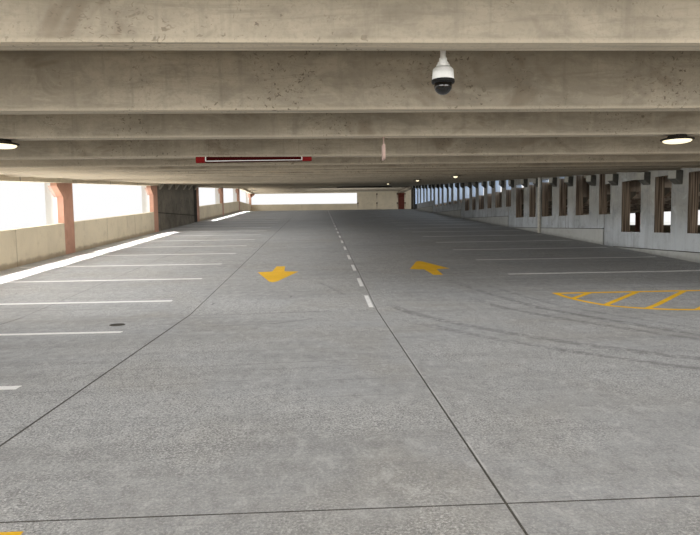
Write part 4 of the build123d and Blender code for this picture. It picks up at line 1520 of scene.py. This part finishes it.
class CARPARK_OT_stage(bpy.types.Operator):
    """Sets the pale floor, the soft light and the camera"""
    bl_idname = "car_park.stage"
    bl_label = "Stage"

    def execute(self, context):
        light = context.scene.car_park_light
        self.floor()
        self.world(light.world)
        self.key(light.key)
        for panel in self.panels(light):
            self.panel(*panel)
        self.camera(context)
        context.scene.view_settings.view_transform = "Standard"
        return {"FINISHED"}

    def floor(self):
        bpy.ops.object.select_all(action="DESELECT")
        bpy.ops.mesh.primitive_plane_add(size=600, location=(0, 0, -0.002))
        plane = named("stage_floor")
        recipe = Recipe("stage_floor", 0.9)
        cloud = recipe.noise(0.05, 3.0, 0.5)
        recipe.feed("Base Color", recipe.mix(cloud, linear(236, 236, 234), linear(242, 242, 240)))
        plane.data.materials.append(recipe.material)

    def world(self, strength):
        """Even light all round that looks pure white to the camera and in reflections."""
        world = bpy.data.worlds.new("studio")
        bpy.context.scene.world = world
        world.use_nodes = True
        tree = world.node_tree
        tree.nodes.clear()
        shades = []
        for colour, power in (((0.93, 0.97, 1.0, 1.0), strength), ((*WHITE, 1.0), 1.0)):
            shade = tree.nodes.new("ShaderNodeBackground")
            shade.inputs["Color"].default_value = colour
            shade.inputs["Strength"].default_value = power
            shades.append(shade.outputs[0])
        path = tree.nodes.new("ShaderNodeLightPath")
        seen = path.outputs["Is Camera Ray"]
        for ray in ("Is Glossy Ray", "Is Transmission Ray"):
            either = tree.nodes.new("ShaderNodeMath")
            either.operation = "MAXIMUM"
            tree.links.new(seen, either.inputs[0])
            tree.links.new(path.outputs[ray], either.inputs[1])
            seen = either.outputs[0]
        blend = tree.nodes.new("ShaderNodeMixShader")
        for socket, value in zip(blend.inputs, (seen, *shades)):
            tree.links.new(value, socket)
        output = tree.nodes.new("ShaderNodeOutputWorld")
        tree.links.new(blend.outputs[0], output.inputs[0])

    def key(self, strength):
        """A soft sun from the upper west, which falls through the side openings."""
        bpy.ops.object.light_add(type="SUN", location=(-30, -8, 40))
        sun = bpy.context.object
        sun.name = "key_light"
        sun.data.energy = strength
        sun.data.angle = math.radians(2.0)
        sun.data.color = (1.0, 0.97, 0.92)
        sun.rotation_mode = "QUATERNION"
        sun.rotation_quaternion = Vector((1.0, 0.22, -1.93)).to_track_quat("-Z", "Y")

    def panel(self, name, centre, aim, up, size, power, colour=WHITE, spread=180, glossy=False):
        bpy.ops.object.light_add(type="AREA", location=centre)
        lamp = bpy.context.object
        lamp.name = name
        lamp.data.shape = "RECTANGLE"
        lamp.data.size, lamp.data.size_y = size
        lamp.data.energy = power
        lamp.data.color = colour
        lamp.data.spread = math.radians(spread)
        back = -Vector(aim).normalized()
        side = Vector(up).cross(back).normalized()
        turn = Matrix((side, back.cross(side), back)).transposed()
        lamp.rotation_mode = "QUATERNION"
        lamp.rotation_quaternion = turn.to_quaternion()
        lamp.visible_camera = False
        lamp.visible_glossy = glossy

    def panels(self, light):
        """Each panel's name, centre, aim, up, size, power, colour, spread and gloss."""
        middle = -SIDE / 2
        under_ceiling = SOFFIT - 0.03
        panels = [
            ("south_panel", (middle, SOUTH - 0.24, 0.70), NORTHWARDS, UPRIGHT, (8.8, 1.0),
             light.south, (1.0, 0.985, 0.95), 180, True),
            ("stem_wash", (middle, SOUTH + 0.65, 1.24), ONTO_STEM, (1, 0, 0), (0.2, 8.0),
             light.stem),
            ("stem_wash_right", (-2.5, SOUTH + 0.65, 1.24), ONTO_STEM, (1, 0, 0), (0.2, 4.0),
             light.stem * 0.27)]
        for bay, share in WEST_SHARES:
            y = (LINES[bay - 1] + LINES[bay]) / 2
            panels.append((
                "west_panel_%d" % bay, (-SIDE - 0.3, y, west_floor(y) + 0.95), (1, 0, 0),
                UPRIGHT, (BAY - 0.6, 0.5), light.side * share, WHITE, 110))
        for name, first, last, x, share in RAMP_WASHES:
            length = LINES[last] - LINES[first - 1]
            y = (LINES[last] + LINES[first - 1]) / 2
            panels.append((
                name, (x, y, west_floor(y) + under_ceiling), ONTO_RAMP, UP_RAMP,
                (4.2, length / math.cos(SLOPE)), light.wash * share))
        panels += [
            ("aisle_wash", (middle, (SOUTH + RAMP_START) / 2 + 0.8, GROUND + under_ceiling),
             DOWN, NORTHWARDS, (8.0, BAY), light.wash),
            ("north_wash", (-3.0, LINES[6] + 1.4, west_floor(LINES[6]) + 0.7), NORTHWARDS,
             UPRIGHT, (5.6, 0.9), light.wash * 0.34),
            ("east_sky_panel", (0.55, 3.0, 2.2), WESTWARDS, UPRIGHT, (22.0, 0.9), light.east,
             (0.72, 0.86, 1.0)),
            ("east_low_panel", (2.6, -17.8, 0.7), (0, 1, 0.10), UPRIGHT, (4.6, 0.9), light.low,
             (1.0, 0.94, 0.86))]
        for number, (near, far) in enumerate(SUN_STRIPS):
            y = (near + far) / 2
            aim, up = (DOWN, NORTHWARDS) if abs(y) > RAMP_END else (ONTO_RAMP, UP_RAMP)
            panels.append((
                "sun_strip_%d" % number, (SUN_STRIP_X, y, west_floor(y) + 0.16), aim, up,
                (SUN_STRIP_WIDTH, far - near), light.strip * (far - near), (1.0, 0.98, 0.95), 8))
        return panels

    def camera(self, context):
        ahead = Vector((
            math.sin(YAW) * math.cos(PITCH), math.cos(YAW) * math.cos(PITCH), -math.sin(PITCH)))
        right = Vector((math.cos(YAW), -math.sin(YAW), 0))
        up = right.cross(ahead)
        across = right * math.cos(ROLL) - up * math.sin(ROLL)
        upright = up * math.cos(ROLL) + right * math.sin(ROLL)
        data = bpy.data.cameras.new("photo_camera")
        data.lens, data.sensor_width, data.sensor_fit = LENS, SENSOR, "AUTO"
        data.clip_start, data.clip_end = CLIP
        camera = bpy.data.objects.new("photo_camera", data)
        context.scene.collection.objects.link(camera)
        turn = Matrix((across, upright, -ahead)).transposed()
        camera.matrix_world = Matrix.Translation(EYE) @ turn.to_4x4()
        context.scene.camera = camera


class CARPARK_PT_panel(bpy.types.Panel):
    """Lists the car park's steps and settings"""
    bl_label = "Car park"
    bl_idname = "CARPARK_PT_panel"
    bl_space_type = "VIEW_3D"
    bl_region_type = "UI"
    bl_category = "Car park"

    def draw(self, context):
        layout = self.layout
        for group in SETTINGS:
            settings = getattr(context.scene, group)
            for name in settings.__annotations__:
                layout.prop(settings, name)
        for step in STEPS:
            layout.operator(step.bl_idname)


STEPS = (
    CARPARK_OT_finishes,
    CARPARK_OT_stall_lines,
    CARPARK_OT_lane_dashes,
    CARPARK_OT_arrows,
    CARPARK_OT_hatched_island,
    CARPARK_OT_corner_bar,
    CARPARK_OT_floor_joints,
    CARPARK_OT_floor_drain,
    CARPARK_OT_foot_strip,
    CARPARK_OT_sill_blocks,
    CARPARK_OT_ceiling_lights,
    CARPARK_OT_wall_corbels,
    CARPARK_OT_hanging_sign,
    CARPARK_OT_dome_camera,
    CARPARK_OT_height_bar,
    CARPARK_OT_connections,
    CARPARK_OT_stage,
)
SETTINGS = {
    "car_park_colours": CarParkColours,
    "car_park_markings": CarParkMarkings,
    "car_park_light": CarParkLight,
}
CLASSES = (*SETTINGS.values(), *STEPS, CARPARK_PT_panel)


def register():
    for item in CLASSES:
        bpy.utils.register_class(item)
    for name, group in SETTINGS.items():
        setattr(bpy.types.Scene, name, bpy.props.PointerProperty(type=group))


def unregister():
    for name in SETTINGS:
        delattr(bpy.types.Scene, name)
    for item in reversed(CLASSES):
        bpy.utils.unregister_class(item)


def main():
    register()
    for step in STEPS:
        group, name = step.bl_idname.split(".")
        getattr(getattr(bpy.ops, group), name)()


if __name__ == "__main__":
    main()
